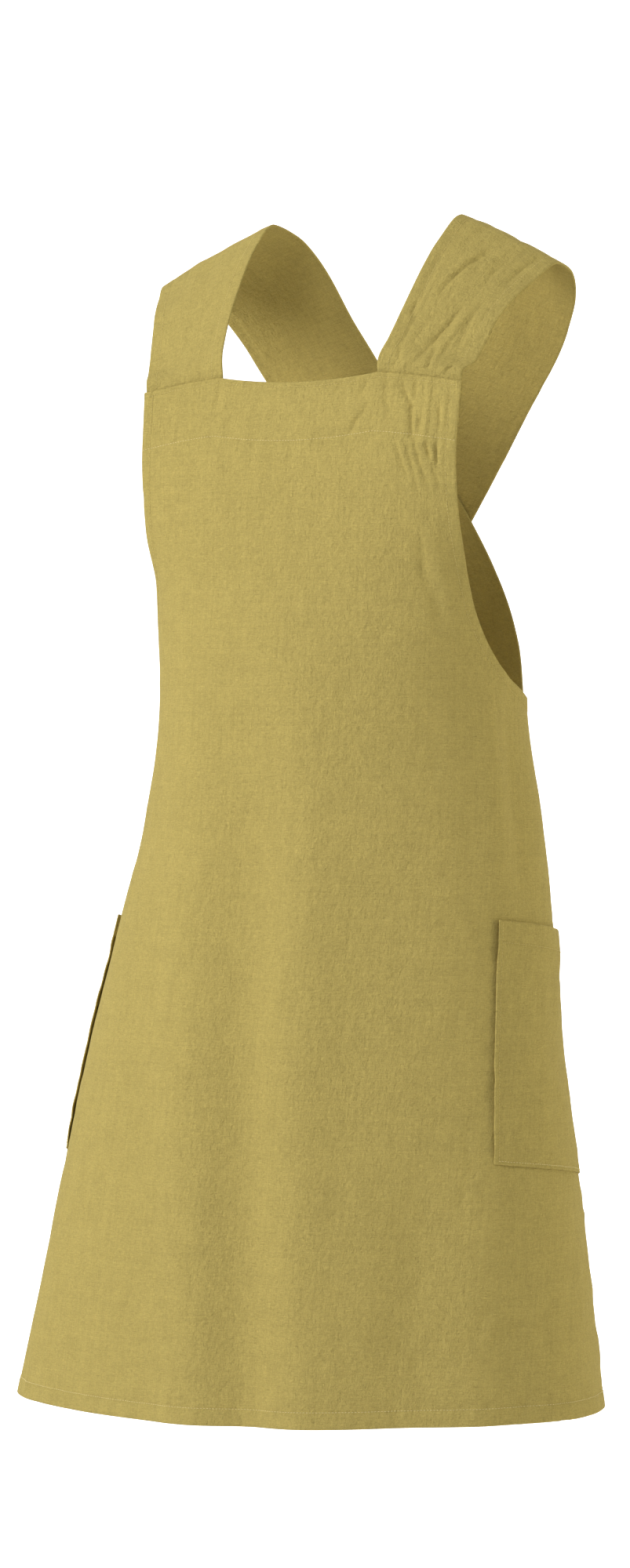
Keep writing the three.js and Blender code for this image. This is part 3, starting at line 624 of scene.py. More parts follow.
LINEN = (0.472, 0.371, 0.113)
body_linen = linen("linen_body", LINEN, tint(LINEN, 1.30), tint(LINEN, 0.72))
strap_linen = linen("linen_strap", tint(LINEN, 1.01), tint(LINEN, 1.32), tint(LINEN, 0.73))
pocket_linen = linen("linen_pocket", tint(LINEN, 0.99), tint(LINEN, 1.29), tint(LINEN, 0.71))
turned_linen = linen("linen_turned", tint(LINEN, 1.03), tint(LINEN, 1.33), tint(LINEN, 0.74))

def thread(name, colour):
    material = bpy.data.materials.new(name)
    material.use_nodes = True
    tree = material.node_tree
    shader = tree.nodes["Principled BSDF"]
    shader.inputs["Base Color"].default_value = (*colour, 1)
    shader.inputs["Roughness"].default_value = 0.7
    shader.inputs["Specular IOR Level"].default_value = 0.1
    place = node(tree, "ShaderNodeTexCoord")
    twist = node(tree, "ShaderNodeTexNoise", in_Scale=900.0, in_Detail=2.0)
    tree.links.new(place.outputs["Object"], twist.inputs["Vector"])
    bump = node(tree, "ShaderNodeBump", in_Strength=0.3, in_Distance=0.0003)
    tree.links.new(twist.outputs["Fac"], bump.inputs["Height"])
    tree.links.new(bump.outputs["Normal"], shader.inputs["Normal"])
    return material


pale_thread = thread("thread_pale", (0.76, 0.66, 0.32))
even_thread = thread("thread_even", (0.62, 0.51, 0.19))


# Stitches: short threads lying on the cloth
STITCH_LENGTH = 1.8
STITCH_PITCH = 2.7
STITCH_RADIUS = 0.25
STITCH_SIDES = 5
STITCH_LIFT = 0.12
TOP_STITCH = 3.6


def stitch_row(points, normals):
    """Vertices and faces of a run of stitches along a polyline in millimetres."""
    gaps = np.linalg.norm(np.diff(points, axis=0), axis=1)
    length = np.concatenate([[0], np.cumsum(gaps)])
    count = max(1, int(length[-1] / STITCH_PITCH))
    verts, faces = [], []

    def at(where, table):
        return np.stack([np.interp(where, length, table[:, k]) for k in range(3)], -1)

    for i in range(count):
        start = (i + 0.15) * length[-1] / count
        stops = start + np.array([0, 0.16, 0.5, 0.84, 1.0]) * STITCH_LENGTH
        spine = at(stops, points)
        up = unit(at(stops, normals))
        ahead = unit(spine[-1] - spine[0])
        sideways = unit(np.cross(ahead, up))
        sizes = np.array([0.25, 0.85, 1.0, 0.85, 0.25]) * STITCH_RADIUS
        lift = np.array([-0.28, 0.02, 0.12, 0.02, -0.28])
        base = len(verts)
        for j in range(5):
            for k in range(STITCH_SIDES):
                turn = 2 * math.pi * k / STITCH_SIDES
                ring = sideways[j] * math.cos(turn) * sizes[j] + up[j] * math.sin(turn) * sizes[j]
                verts.append(spine[j] + up[j] * lift[j] + ring)
        for j in range(4):
            for k in range(STITCH_SIDES):
                a = base + j * STITCH_SIDES + k
                b = base + j * STITCH_SIDES + (k + 1) % STITCH_SIDES
                faces.append((a, b, b + STITCH_SIDES, a + STITCH_SIDES))
        faces.append(tuple(base + k for k in reversed(range(STITCH_SIDES))))
        faces.append(tuple(base + 4 * STITCH_SIDES + k for k in range(STITCH_SIDES)))
    return verts, faces


def stitch_piece(name, rows):
    """Each row holds points, normals and whether its thread is pale."""
    verts, faces, pale = [], [], []
    for points, normals, is_pale in rows:
        v, f = stitch_row(np.asarray(points), np.asarray(normals))
        shift = len(verts)
        verts += v
        faces += [tuple(i + shift for i in face) for face in f]
        pale += [int(is_pale)] * len(f)
    mesh = bpy.data.meshes.new(name)
    mesh.from_pydata((np.array(verts) * MM).tolist(), [], faces)
    mesh.polygons.foreach_set("use_smooth", [True] * len(mesh.polygons))
    mesh.materials.append(even_thread)
    mesh.materials.append(pale_thread)
    mesh.polygons.foreach_set("material_index", pale)
    obj = bpy.data.objects.new(name, mesh)
    collection.objects.link(obj)
    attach(obj, "root")
    return obj


def on_cloth(across, drop, offset=BODY_WALL / 2):
    across, drop = np.asarray(across, float), np.asarray(drop, float)
    normal = outward(cloth_middle, across, drop)
    points = cloth_middle(across, drop) + normal * (offset + 0.12)
    return points, normal


# The body: a bib and skirt front to the armhole's turning point, and a back part beside it
BIB_ROWS = 128
SKIRT_ROWS = 112
FRONT_COLUMNS = 80
BACK_COLUMNS = 36
EDGE_STEPS = np.array([0, 1.2, 4.0, 7.2, 8.8, 10.2, 12.5])
HEM_STEPS = np.array([0, 1.4, 5.0, 9.5, 12.0, 13.4, 14.8, 17.5])
turning_point = armhole(TURNING_RUN)
girth_share = float(turning_point[0] / half_girth(turning_point[1]))
HEM_SPLIT = mix(float(turning_point[0]), girth_share * float(half_girth(LENGTH)), 0.7)


def stations(count, length, start_steps, end_steps, crowd=0.0):
    """Shares from 0 to 1 with fixed distances near both ends."""
    length = np.asarray(length, float)[..., None]
    start = np.asarray(start_steps) / length if len(start_steps) else np.zeros(length.shape[:-1] + (0,))
    end = 1 - np.asarray(end_steps)[::-1] / length if len(end_steps) else np.zeros(length.shape[:-1] + (0,))
    low = start[..., -1:] if len(start_steps) else np.zeros(length.shape)
    high = end[..., :1] if len(end_steps) else np.ones(length.shape)
    inner = count + 1 - len(start_steps) - len(end_steps)
    t = (np.arange(inner) + 1) / (inner + 1)
    if not len(start_steps):
        t = np.arange(inner) / inner
    if not len(end_steps):
        t = (np.arange(inner) + 1) / inner
    t = t * (1 + crowd - crowd * t)
    return np.concatenate([start, low + (high - low) * t, end], -1)


def front_stations(length):
    return stations(FRONT_COLUMNS, length, [], EDGE_STEPS, 0.3)


front_bib = np.zeros((BIB_ROWS + 1, FRONT_COLUMNS + 1, 2))
top_rows = stations(BIB_ROWS, 240.0, [0, 1.2, 2.8, 4.0, 6.0], [])
RIM_SHARE = 0.025
below_rim = top_rows - RIM_SHARE
crowded = RIM_SHARE + below_rim * (0.74 + 0.26 * below_rim / 0.975)
top_rows = np.where(top_rows < RIM_SHARE, top_rows, crowded)
for i in range(BIB_ROWS + 1):
    share = top_rows[i]
    edge = armhole(run_at(share * TURNING_LENGTH))
    t = front_stations(edge[0])
    centre = mix(BIB_DROP, turning_point[1] - NECK_RISE, share)
    level = mix(centre, edge[1], t ** 1.5)
    lift = (bib_top(BIB_WIDTH / 2 * t) - mix(BIB_DROP, BIB_CORNER[1], t ** 1.5)) * (1 - share)
    front_bib[i, :, 0] = edge[0] * t
    front_bib[i, :, 1] = level + lift

skirt_length = LENGTH - turning_point[1]
row_share = stations(SKIRT_ROWS, skirt_length, EDGE_STEPS, HEM_STEPS)
hem_front = HEM_SPLIT * front_stations(turning_point[0])
front_skirt = np.zeros((SKIRT_ROWS + 1, FRONT_COLUMNS + 1, 2))
top_level = mix(turning_point[1] - NECK_RISE, turning_point[1], front_stations(turning_point[0]) ** 1.5)
for i, share in enumerate(row_share):
    front_skirt[i, :, 0] = mix(front_bib[-1, :, 0], hem_front, share)
    front_skirt[i, :, 1] = mix(top_level, hem_drop(hem_front), share)

back_part = np.zeros((SKIRT_ROWS + 1, BACK_COLUMNS + 1, 2))
corner_points = [
    turning_point, np.array(BACK_CORNER),
    np.array([HEM_SPLIT, float(hem_drop(HEM_SPLIT))]), np.array([HEM_EDGE, BACK_LENGTH]),
]
for i, v in enumerate(row_share):
    side_drop = mix(ARMHOLE_DROP, BACK_LENGTH, v)
    span = float(back_edge(side_drop)) - front_skirt[i, -1, 0]
    u = stations(BACK_COLUMNS, span, [], EDGE_STEPS)
    top = armhole(run_at(mix(TURNING_LENGTH, ARMHOLE_LENGTH, u)))
    hem_at = mix(HEM_SPLIT, HEM_EDGE, u)
    bottom = np.stack([hem_at, hem_drop(hem_at)], -1)
    left = front_skirt[i, -1]
    right = np.array([float(back_edge(side_drop)), side_drop])
    u = u[:, None]
    overlap = mix(mix(corner_points[0], corner_points[1], u), mix(corner_points[2], corner_points[3], u), v)
    back_part[i] = (1 - v) * top + v * bottom + (1 - u) * left + u * right - overlap


def body_places():
    places, quads, index = [], [], {}
    front = np.concatenate([front_bib, front_skirt[1:]])

    def vertex(side, i, j):
        key = (1 if j == 0 else side, i, j)
        if key not in index:
            at = front[i, j] if j <= FRONT_COLUMNS else back_part[i - BIB_ROWS, j - FRONT_COLUMNS]
            index[key] = len(places)
            places.append((at[0] * side, at[1]))
        return index[key]

    for side in (1, -1):
        for i in range(BIB_ROWS + SKIRT_ROWS):
            columns = FRONT_COLUMNS if i < BIB_ROWS else FRONT_COLUMNS + BACK_COLUMNS
            for j in range(columns):
                around = ((i, j), (i + 1, j), (i + 1, j + 1), (i, j + 1))
                quad = [vertex(side, row, column) for row, column in around]
                quads.append(quad if side == 1 else quad[::-1])
    return np.array(places), np.array(quads)


def seam_relief(across, drop):
    """Extra height of the outer face over the turned edges, with a groove along each stitch line."""
    edge = distance_to_armhole(across, drop)
    above = drop < ARMHOLE_DROP + 30
    to_hem = hem_drop(across) - drop
    to_back = back_edge(drop) - np.abs(across)
    to_top = drop - bib_top(across)
    height = np.zeros(np.shape(across))
    for gap, turn, depth, where in (
        (edge, ARMHOLE_TURN - 1.5, 0.45, above),
        (to_hem, BOTTOM_TURN - 0.6, 0.60, np.ones_like(above)),
        (to_back, BACK_TURN - 2.0, 0.40, drop > ARMHOLE_DROP - 5),
        (to_top, FACING_DEPTH, 0.30, np.abs(across) < 152),
    ):
        height += depth * (1 - smooth(turn - 0.8, turn + 1.4, gap)) * where
        height -= 0.50 * np.exp(-(((gap - turn) / 1.3) ** 2)) * where
    height -= 0.25 * np.exp(-(((to_top - TOP_STITCH) / 1.2) ** 2)) * (np.abs(across) < 152)
    return height


places, quads = body_places()
relief = seam_relief(places[:, 0], places[:, 1])
body = cloth_sheet("apron_body_cloth", places, quads, relief, BODY_WALL, body_linen)
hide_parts("apron_body")
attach(body, "root")


# Turned edges and the facing, inside the body
TURN_INSIDE = -(BODY_WALL / 2 + 0.25 + TURN_WALL / 2)
STRAP_INSIDE = -(BODY_WALL / 2 + 0.45 + STRAP_WALL / 2)
STRAP_ROOM = STRAP_WALL + 0.5
NECK_MARGIN = 8


def covered_by_strap(across, drop):
    away = np.abs(across)
    front = smooth(NECK_WIDTH / 2 - NECK_MARGIN, NECK_WIDTH / 2 - 1, away)
    low = bib_top(np.minimum(away, BIB_WIDTH / 2)) + STRAP_TUCK
    high = 1 - smooth(low + NECK_MARGIN * 0.25, low + NECK_MARGIN * 1.75, drop)
    covered = BACK_CORNER[0] - STRAP_END_WIDTH * 1.1
    back = smooth(covered - NECK_MARGIN * 2.75, covered - NECK_MARGIN * 0.75, away)
    in_front = drop < (BIB_DROP + ARMHOLE_DROP) / 2
    return np.maximum(front * high * in_front, back)


def inside_sheet(name, grid, replaced):
    rows, width = grid.shape[:2]
    places = grid.reshape(-1, 2)
    offset = TURN_INSIDE - STRAP_ROOM * covered_by_strap(places[:, 0], places[:, 1])
    offset = offset - 0.25 + 0.25 * lattice_noise(places[:, 0] / 12, places[:, 1] / 12, 8)
    piece = cloth_sheet(name, places, grid_quads(rows, width), offset, TURN_WALL, turned_linen)
    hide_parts(replaced)
    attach(piece, "root")
    return piece


half = BIB_WIDTH / 2 - ARMHOLE_TURN - CLEARANCE * 2
facing_across = np.linspace(-half, half, 81)
facing_levels = np.concatenate([[0, 0.02, 0.06], np.linspace(0.1, 0.94, 14), [0.98, 1.0]])
facing_grid = np.stack(np.broadcast_arrays(
    facing_across[None, :],
    bib_top(facing_across)[None, :] + 0.4 + facing_levels[:, None] * (FACING_DEPTH - 0.4),
), -1)
facing = inside_sheet("bib_facing_cloth", facing_grid, "bib_facing")

hem_across = np.concatenate([-np.linspace(0, HEM_EDGE, 261)[:0:-1], np.linspace(0, HEM_EDGE, 261)])
hem_rows = []
for depth in (BOTTOM_TURN, BOTTOM_TURN - 1, 9, 4.5, 1.2, 0.3):
    drop = hem_drop(hem_across) - depth
    hem_rows.append(np.stack([hem_across / HEM_EDGE * (back_edge(drop) - 0.3), drop], -1))
bottom_hem = inside_sheet("bottom_hem_cloth", np.array(hem_rows), "bottom_hem")

for word, side in (("left", 1), ("right", -1)):
    stop = float(np.interp(BACK_CORNER[0] - BACK_TURN - 1, dense_edge[:, 0], dense_length))
    runs = run_at(np.linspace(0, stop, 121))
    rows = []
    for run in runs:
        depths = np.array([ARMHOLE_TURN - 0.3, ARMHOLE_TURN - 1.2, 5.0, 1.2, 0.3])
        row = armhole_inside(np.full(5, run), depths)
        floor = bib_top(np.minimum(row[:, 0], BIB_WIDTH / 2)) + 0.4
        rows.append(np.stack([row[:, 0] * side, np.maximum(row[:, 1], floor)], -1))
    grid = np.array(rows)
    if side < 0:
        grid = grid[:, ::-1]
    inside_sheet(f"armhole_hem_{word}_cloth", grid, f"armhole_hem_{word}")
    drops = np.linspace(ARMHOLE_DROP + 0.5, BACK_LENGTH - BOTTOM_TURN - 1.2, 131)
    steps = np.array([BACK_TURN, BACK_TURN - 1, 6, 1.2, 0.3])
    inward = (back_edge(drops)[:, None] - steps[None, :]) * side
    grid = np.stack([inward, np.repeat(drops[:, None], len(steps), 1)], -1)
    if side < 0:
        grid = grid[:, ::-1]
    inside_sheet(f"back_hem_{word}_cloth", grid, f"back_hem_{word}")


# Pockets
POCKET_OUTSIDE = BODY_WALL / 2 + 0.25 + POCKET_WALL / 2
POCKET_ROWS = 60
POCKET_COLUMNS = 52
POCKET_SEAM = 4
POCKET_FOOT_SEAM = 2.6


def pocket_place(side, level, share):
    across = POCKET_FROM_FRONT + POCKET_SLANT * level + share * POCKET_WIDTH
    if side < 0:
        across = across + RIGHT_POCKET_BACK
    return across, POCKET_DROP + level * POCKET_HEIGHT + share * POCKET_TIP


# Creases of a pocket in millimetres from its front edge and top: two ends, width, height
POCKET_CREASES = (
    (9, 2, 7, 15, 2.4, -0.7),
    (16, 2, 20, 16, 2.6, 0.6),
    (26, 3, 23, 15, 2.4, -0.6),
    (40, 3, 46, 15, 2.8, -0.5),
    (8, 44, 22, 52, 3.0, -0.6),
    (12, 60, 24, 74, 3.4, -0.6),
    (6, 84, 16, 92, 3.0, -0.5),
    (20, 150, 34, 176, 5.0, -0.5),
    (70, 60, 96, 96, 9.0, -0.5),
    (60, 120, 104, 150, 9.0, 0.6),
    (120, 40, 140, 90, 9.0, 0.5),
)


def pocket_height(level, share, side):
    turn = POCKET_TURN / POCKET_HEIGHT
    mouth = 1 - smooth(0, 0.5, level)
    height = (TURN_WALL + 0.25) * (1 - smooth(turn * 1.1, turn * 2.2, level))
    bow = np.sin(math.pi * np.clip(share * 1.02 - 0.01, 0, 1)) ** 0.8
    height = height + (POCKET_GAPE + 0.3) * mouth * bow
    inner = np.sin(math.pi * np.clip(share, 0, 1)) ** 0.5 * np.sin(math.pi * np.clip(level, 0.0, 1)) ** 0.5
    height = height + 0.5 * inner
    height = height + 0.45 * inner * lattice_noise(share * 7 + side * 3, level * 6, 21)
    height = height + 0.18 * lattice_noise(share * 19, level * 22 + side, 22)
    from_front = share * POCKET_WIDTH
    from_back = (1 - share) * POCKET_WIDTH
    from_foot = (1 - level) * POCKET_HEIGHT
    hem = np.abs(level * POCKET_HEIGHT - POCKET_TURN)
    front, back = np.abs(from_front - POCKET_SEAM), np.abs(from_back - POCKET_SEAM)
    foot = np.abs(from_foot - POCKET_FOOT_SEAM)
    for gap in (front, back, foot, hem):
        height = height - 0.28 * np.exp(-((gap / 1.5) ** 2))
    ripple = 0.6 * lattice_noise(level * 17, np.zeros_like(level) + side, 23)
    height = height + (1.5 + ripple) * np.exp(-((from_front / 5.0) ** 2)) * (1 - smooth(0.93, 1.0, level))
    height = height + crease_height(from_front, level * POCKET_HEIGHT, POCKET_CREASES)
    return height


for word, side in (("left", 1), ("right", -1)):
    levels = stations(POCKET_ROWS, POCKET_HEIGHT, [0, 1.2, 3.0, 16.6, 18, 19.4], [0, 1.2, 2.8, 4, 5.2])
    shares = stations(POCKET_COLUMNS, POCKET_WIDTH, [0, 1.2, 2.8, 4, 5.2], [0, 1.2, 2.8, 4, 5.2])
    level, share = np.meshgrid(levels, shares, indexing="ij")
    across, drop = pocket_place(side, level, share)
    if side < 0:
        across, drop, level, share = (a[:, ::-1] for a in (across, drop, level, share))
    places = np.stack([across.ravel() * side, drop.ravel()], -1)
    offset = POCKET_OUTSIDE + pocket_height(level, share, side).ravel()
    quads = grid_quads(*level.shape)
    pocket = cloth_sheet(f"pocket_{word}_cloth", places, quads, offset, POCKET_WALL, pocket_linen)
    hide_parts(f"pocket_{word}")
    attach(pocket, "root")
    hem_levels = np.linspace(0.002, POCKET_TURN / POCKET_HEIGHT, 8)
    level, share = np.meshgrid(hem_levels, np.linspace(0.008, 0.992, 44), indexing="ij")
    across, drop = pocket_place(side, level, share)
    if side < 0:
        across, drop, level, share = (a[:, ::-1] for a in (across, drop, level, share))
    places = np.stack([across.ravel() * side, drop.ravel()], -1)
    offset = POCKET_OUTSIDE + pocket_height(level, share, side).ravel()
    offset = offset - POCKET_WALL / 2 - 0.2 - TURN_WALL / 2
    quads = grid_quads(*level.shape)
    hem = cloth_sheet(f"pocket_hem_{word}_cloth", places, quads, offset, TURN_WALL, turned_linen)
    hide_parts(f"pocket_hem_{word}")
    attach(hem, "root")
    rows = []
    for path in (
        (np.linspace(0.01, 0.985, 260), np.full(260, POCKET_SEAM / POCKET_WIDTH)),
        (np.full(240, 1 - POCKET_FOOT_SEAM / POCKET_HEIGHT), np.linspace(0.02, 0.98, 240)),
        (np.linspace(0.975, 0.01, 260), np.full(260, 1 - POCKET_SEAM / POCKET_WIDTH)),
        (np.full(240, POCKET_TURN / POCKET_HEIGHT), np.linspace(0.03, 0.97, 240)),
    ):
        across, drop = pocket_place(side, *path)
        height = POCKET_OUTSIDE + pocket_height(path[0], path[1], side) + POCKET_WALL / 2 + 0.1
        points, normals = on_cloth(across * side, drop, 0)
        rows.append((points + normals * height[:, None], normals, path[0][0] > 0.98))
    pocket_stitches = stitch_piece(f"stitches_pocket_{word}", rows)


# Straps
shoulder_curve = [curve(SHOULDER[:, 0], SHOULDER[:, k]) for k in range(1, 7)]
STRAP_RUN = STRAP_TUCK / SHOULDER[0, 0]
BACK_START = SHOULDER[7, 0]
RIGHT_STRAP_SPREAD = 0.07
CROSSING_LAYER = (STRAP_WALL + CLEARANCE) / 2 + 0.35


def over_shoulder(along, share):
    size = (SHOULDER_WIDTH, SHOULDER_DEPTH, BIB_DROP)
    neck = np.stack([shoulder_curve[k](along) * size[k] for k in range(3)], -1)
    arm = np.stack([shoulder_curve[k + 3](along) * size[k] for k in range(3)], -1)
    return mix(neck, arm, share[..., None])


def on_bib(side, along, share):
    across = mix(NECK_WIDTH / 2, BIB_WIDTH / 2 - CLEARANCE * 2, share)
    drop = bib_top(across) + STRAP_TUCK - along * STRAP_RUN
    return cloth(across * side, drop, STRAP_INSIDE) * np.array([side, 1, 1])


def on_back(side, along, share, layer):
    t = (along - BACK_START) / (1 - BACK_START)
    neck_start = (SHOULDER[7, 1] * SHOULDER_WIDTH, -SHOULDER[7, 3] * BIB_DROP)
    arm_start = (SHOULDER[7, 4] * SHOULDER_WIDTH, -SHOULDER[7, 6] * BIB_DROP)
    arm_end = (-(BACK_GAP / 2 + 0.6), ARMHOLE_DROP + STRAP_TUCK)
    neck_end = (-(BACK_GAP / 2 + STRAP_END_WIDTH), ARMHOLE_DROP + STRAP_TUCK - STRAP_END_WIDTH * 0.11)
    around = mix(mix(neck_start[0], neck_end[0], t), mix(arm_start[0], arm_end[0], t), share)
    drop = mix(mix(neck_start[1], neck_end[1], t), mix(arm_start[1], arm_end[1], t), share)

    def place(a, d):
        away = half_girth(d) - np.abs(a)
        sign = np.where(a * side >= 0, 1.0, -1.0)
        return cloth_middle(away * sign, d, False) * np.array([side, 1, 1])

    step = 2.0
    sideways = place(around + step, drop) - place(around - step, drop)
    down = place(around, drop + step) - place(around, drop - step)
    out = unit(np.cross(sideways, down))
    tucked = smooth(ARMHOLE_DROP - STRAP_TUCK * 5.4, ARMHOLE_DROP - STRAP_TUCK * 2, drop)
    return place(around, drop) + out * mix(layer, STRAP_INSIDE, tucked)[..., None]


def strap_middle(side, along, share):
    if side < 0:
        share = share * (1 + RIGHT_STRAP_SPREAD * smooth(0.05, 0.17, along) * (1 - smooth(0.27, 0.40, along)))
    point = over_shoulder(along, share)
    bib_part = (1 - smooth(*STRAP_LEAVES_BIB, along))[..., None]
    back_part = smooth(*STRAP_MEETS_BACK, along)[..., None]
    point = mix(point, on_bib(side, along, share), bib_part)
    return mix(point, on_back(side, along, share, side * CROSSING_LAYER), back_part)


STRAP_ROWS = 470
STRAP_COLUMNS = 62
STRAP_TURN = 10.0


def strap_width(along):
    return np.interp(along, [0, 0.02, 0.127, 0.215, 0.271, 0.40, 1.0], [76, 77, 83, 97, 108, 104, 100])


def strap_relief(side, along, share):
    length = along * STRAP_LENGTH
    width = strap_width(along)
    across = share * CREASE_SPAN
    height = crease_height(length, across, [
        (a, b * CREASE_SPAN, c, d * CREASE_SPAN, w, 1.3 * r) for a, b, c, d, w, r in STRAP_CREASES[side]])
    crinkles = seeded_creases(70, 31 + side, (30, 720), (4, 86), 1.4)
    height += crease_height(length, across, crinkles)
    height += 0.5 * lattice_noise(length / 55 + side * 5, share * 2.6 + 4, 32)
    height += 0.16 * lattice_noise(length / 12, share * 9 + side, 33)
    inside = smooth(0, 10, length - 16)
    edge = np.minimum(share, 1 - share) * width
    seam = 0.4 * (1 - smooth(STRAP_TURN - 0.8, STRAP_TURN + 1.4, edge))
    seam -= 0.32 * np.exp(-(((edge - STRAP_TURN) / 1.3) ** 2))
    by_seam = np.exp(-(((edge - STRAP_TURN + 2) / 6) ** 2))
    pucker = 0.32 * lattice_noise(length / 8.0 + side * 2, share * 2, 34) * by_seam
    quiet = 1 - smooth(560, 640, length)
    tucked = 1 - smooth(700, 730, length)
    return height * inside * mix(0.35, 1, quiet) * tucked + (seam + pucker) * inside * tucked


def strap_surface(side, along, share):
    step_along, step_share = 0.003, 0.012
    ahead = strap_middle(side, along + step_along, share) - strap_middle(side, along - step_along, share)
    armward = strap_middle(side, along, share + step_share) - strap_middle(side, along, share - step_share)
    out = unit(np.cross(armward, ahead))
    loose = smooth(0.08, 0.2, along) * (1 - smooth(0.32, 0.42, along))
    bow = STRAP_BOW * loose * 4 * share * (1 - share)
    height = bow + strap_relief(side, along, share)
    return strap_middle(side, along, share) + out * height[..., None], out


for word, side in (("left", 1), ("right", -1)):
    alongs = stations(STRAP_ROWS, STRAP_LENGTH, [0, 1.2], [0, 1.2])
    shares = stations(STRAP_COLUMNS, STRAP_MEAN_WIDTH, EDGE_STEPS, EDGE_STEPS)
    along, share = np.meshgrid(alongs, shares, indexing="ij")
    middle, _ = strap_surface(side, along, share)
    run = np.gradient(middle, axis=0)
    over = np.gradient(middle, axis=1)
    normal = unit(np.cross(over, run)).reshape(-1, 3)
    middle = middle.reshape(-1, 3)
    mirror = np.array([side, 1, 1])
    flat = np.stack([(share - 0.5).ravel() * STRAP_MEAN_WIDTH, along.ravel() * STRAP_LENGTH], -1)
    quads = grid_quads(*along.shape)
    if side > 0:
        quads = quads[:, ::-1]
    middle, normal = middle * mirror, normal * mirror
    strap = sheet_mesh(f"strap_{word}_cloth", middle, normal, quads, flat, STRAP_WALL, strap_linen)
    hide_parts(f"strap_{word}")
    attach(strap, "root")
    rows = []
    for edge in (0, 1):
        line = np.linspace(0.024, 0.945, 700)
        inset = STRAP_TURN / strap_width(line)
        at = inset if edge == 0 else 1 - inset
        points, out = strap_surface(side, line, at)
        rows.append(((points + out * (STRAP_WALL / 2 + STITCH_LIFT)) * mirror, out * mirror, False))
    strap_stitches = stitch_piece(f"stitches_strap_{word}", rows)


# Stitch lines of the body
def body_line(across, drop, is_pale):
    relief = seam_relief(across, drop)
    points, normals = on_cloth(across, drop)
    return points + normals * (relief[:, None] + STITCH_LIFT), normals, is_pale


line = np.linspace(-BIB_WIDTH / 2 + 1.5, BIB_WIDTH / 2 - 1.5, 600)
stitch_lines = [
    body_line(line, bib_top(line) + TOP_STITCH, False),
    body_line(line, bib_top(line) + FACING_DEPTH, True),
]
line = np.linspace(-HEM_EDGE + 1, HEM_EDGE - 1, 1600)
drop = hem_drop(line) - BOTTOM_TURN + 0.6
stitch_lines.append(body_line(line / HEM_EDGE * (back_edge(drop) - 0.5), drop, True))
for side in (1, -1):
    runs = run_at(np.linspace(2, ARMHOLE_LENGTH - 2, 700))
    edge = armhole_inside(runs, np.full(700, ARMHOLE_TURN - 1.5))
    edge = edge[edge[:, 1] > bib_top(np.minimum(edge[:, 0], BIB_WIDTH / 2)) + 2]
    stitch_lines.append(body_line(edge[:, 0] * side, edge[:, 1], False))
    drops = np.linspace(ARMHOLE_DROP + 3, BACK_LENGTH - 2, 900)
    stitch_lines.append(body_line((back_edge(drops) - BACK_TURN + 2.0) * side, drops, False))
body_stitches = stitch_piece("stitches_body", stitch_lines)


# Floor and backdrop in one sweep
SWEEP_STEPS = 40
WALL_START = 16


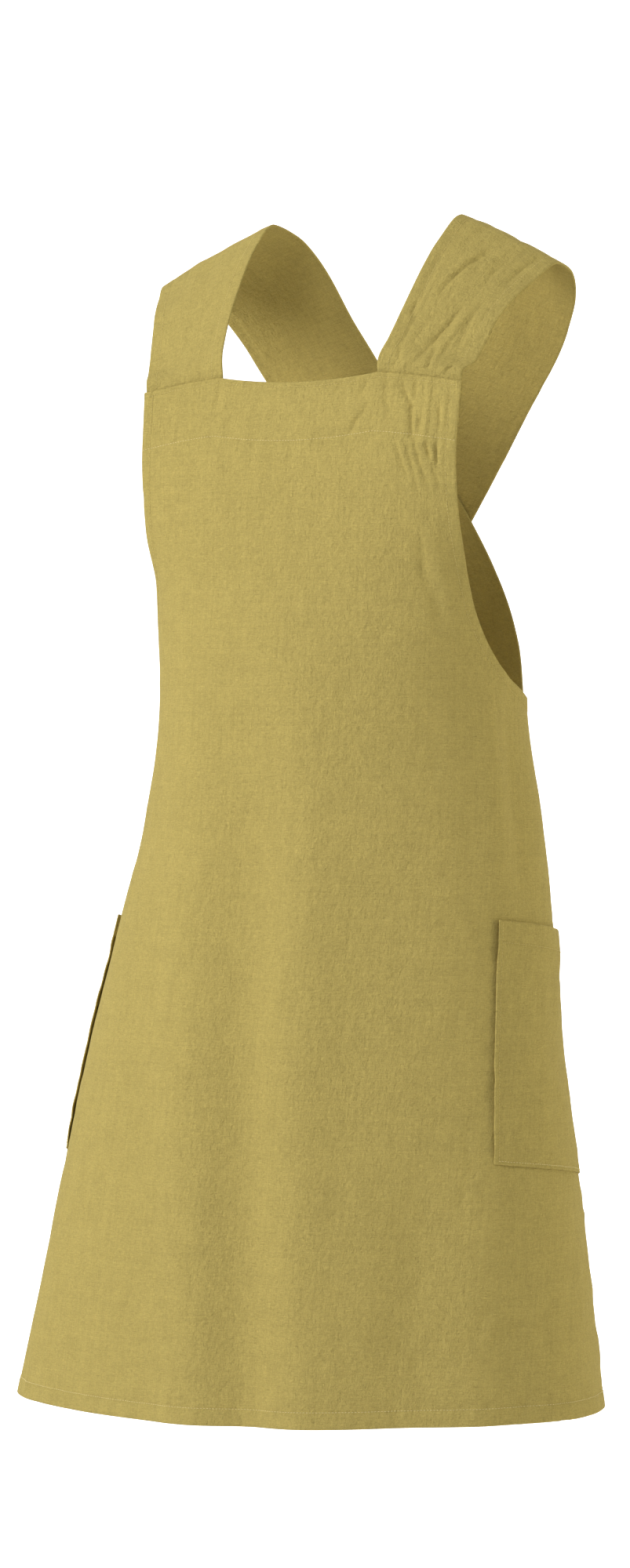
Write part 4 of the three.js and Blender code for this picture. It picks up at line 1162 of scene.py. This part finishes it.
def sweep():
    rows = []
    for i in range(SWEEP_STEPS + 1):
        t = i / SWEEP_STEPS
        if t < 0.4:
            rows.append((mix(-6.5, 3.2, t / 0.4), 0.0))
        elif t < 0.7:
            turn = (t - 0.4) / 0.3 * math.pi / 2
            rows.append((3.2 + 1.6 * math.sin(turn), 1.6 - 1.6 * math.cos(turn)))
        else:
            rows.append((4.8, mix(1.6, 6.0, (t - 0.7) / 0.3)))
    verts = [(x, y, z - 1.62) for y, z in rows for x in (-7.0, 7.0)]
    faces = [(2 * i, 2 * i + 1, 2 * i + 3, 2 * i + 2) for i in range(len(rows) - 1)]
    mesh = bpy.data.meshes.new("sweep")
    mesh.from_pydata(verts, [], faces)
    mesh.polygons.foreach_set("use_smooth", [True] * len(mesh.polygons))
    for name, glow in (("floor_white", 0.12), ("wall_white", 0.85)):
        material = bpy.data.materials.new(name)
        material.use_nodes = True
        shader = material.node_tree.nodes["Principled BSDF"]
        shader.inputs["Base Color"].default_value = (0.94, 0.94, 0.94, 1)
        shader.inputs["Roughness"].default_value = 0.9
        shader.inputs["Emission Color"].default_value = (1, 1, 1, 1)
        shader.inputs["Emission Strength"].default_value = glow
        mesh.materials.append(material)
    for polygon in mesh.polygons:
        polygon.material_index = int(polygon.index >= WALL_START)
    obj = bpy.data.objects.new("sweep", mesh)
    collection.objects.link(obj)
    obj.rotation_euler[2] = CAMERA_TURN


CAMERA_TURN = math.radians(28)
CAMERA_DISTANCE = 4.8
CAMERA_HEIGHT = -0.474
VIEW_SIDE = 0.04586

sweep()

world = bpy.data.worlds.new("studio")
world.use_nodes = True
world.node_tree.nodes["Background"].inputs["Color"].default_value = (1, 1, 1, 1)
world.node_tree.nodes["Background"].inputs["Strength"].default_value = 0.20
bpy.context.scene.world = world


def area_light(name, azimuth, elevation, distance, size, power, colour=(1, 1, 1)):
    """Azimuth 0 shines from the front of the wearer; the light looks at the middle of the apron."""
    data = bpy.data.lights.new(name, "AREA")
    data.shape = "RECTANGLE"
    data.size, data.size_y = size
    data.energy = power
    data.color = colour
    obj = bpy.data.objects.new(name, data)
    collection.objects.link(obj)
    a, e = math.radians(azimuth), math.radians(elevation)
    place = Vector((math.sin(a) * math.cos(e), -math.cos(a) * math.cos(e), math.sin(e))) * distance
    target = Vector((0, -0.05, -0.5))
    obj.location = target + place
    obj.rotation_euler = (-place).to_track_quat("-Z", "Y").to_euler()
    return obj


WARM = (1.0, 0.95, 0.74)
area_light("key", -38, 20, 3.4, (1.0, 1.6), 76)
area_light("fill", 110, 8, 3.4, (1.8, 2.6), 45, WARM)
area_light("high", 12, 55, 3.4, (1.6, 1.4), 44)
area_light("behind", 185, 25, 3.6, (2.4, 2.4), 16)

camera_data = bpy.data.cameras.new("camera")
camera_data.sensor_width = 36
camera_data.sensor_fit = "AUTO"
camera_data.lens = 126.282
camera_data.clip_end = 60
camera = bpy.data.objects.new("camera", camera_data)
collection.objects.link(camera)
right = Vector((math.cos(CAMERA_TURN), math.sin(CAMERA_TURN), 0))
toward = Vector((math.sin(CAMERA_TURN), -math.cos(CAMERA_TURN), 0))
camera.location = toward * CAMERA_DISTANCE - right * VIEW_SIDE + Vector((0, 0, CAMERA_HEIGHT))
camera.rotation_euler = (math.pi / 2, 0, CAMERA_TURN)
bpy.context.scene.camera = camera
bpy.context.scene.view_settings.view_transform = "Standard"
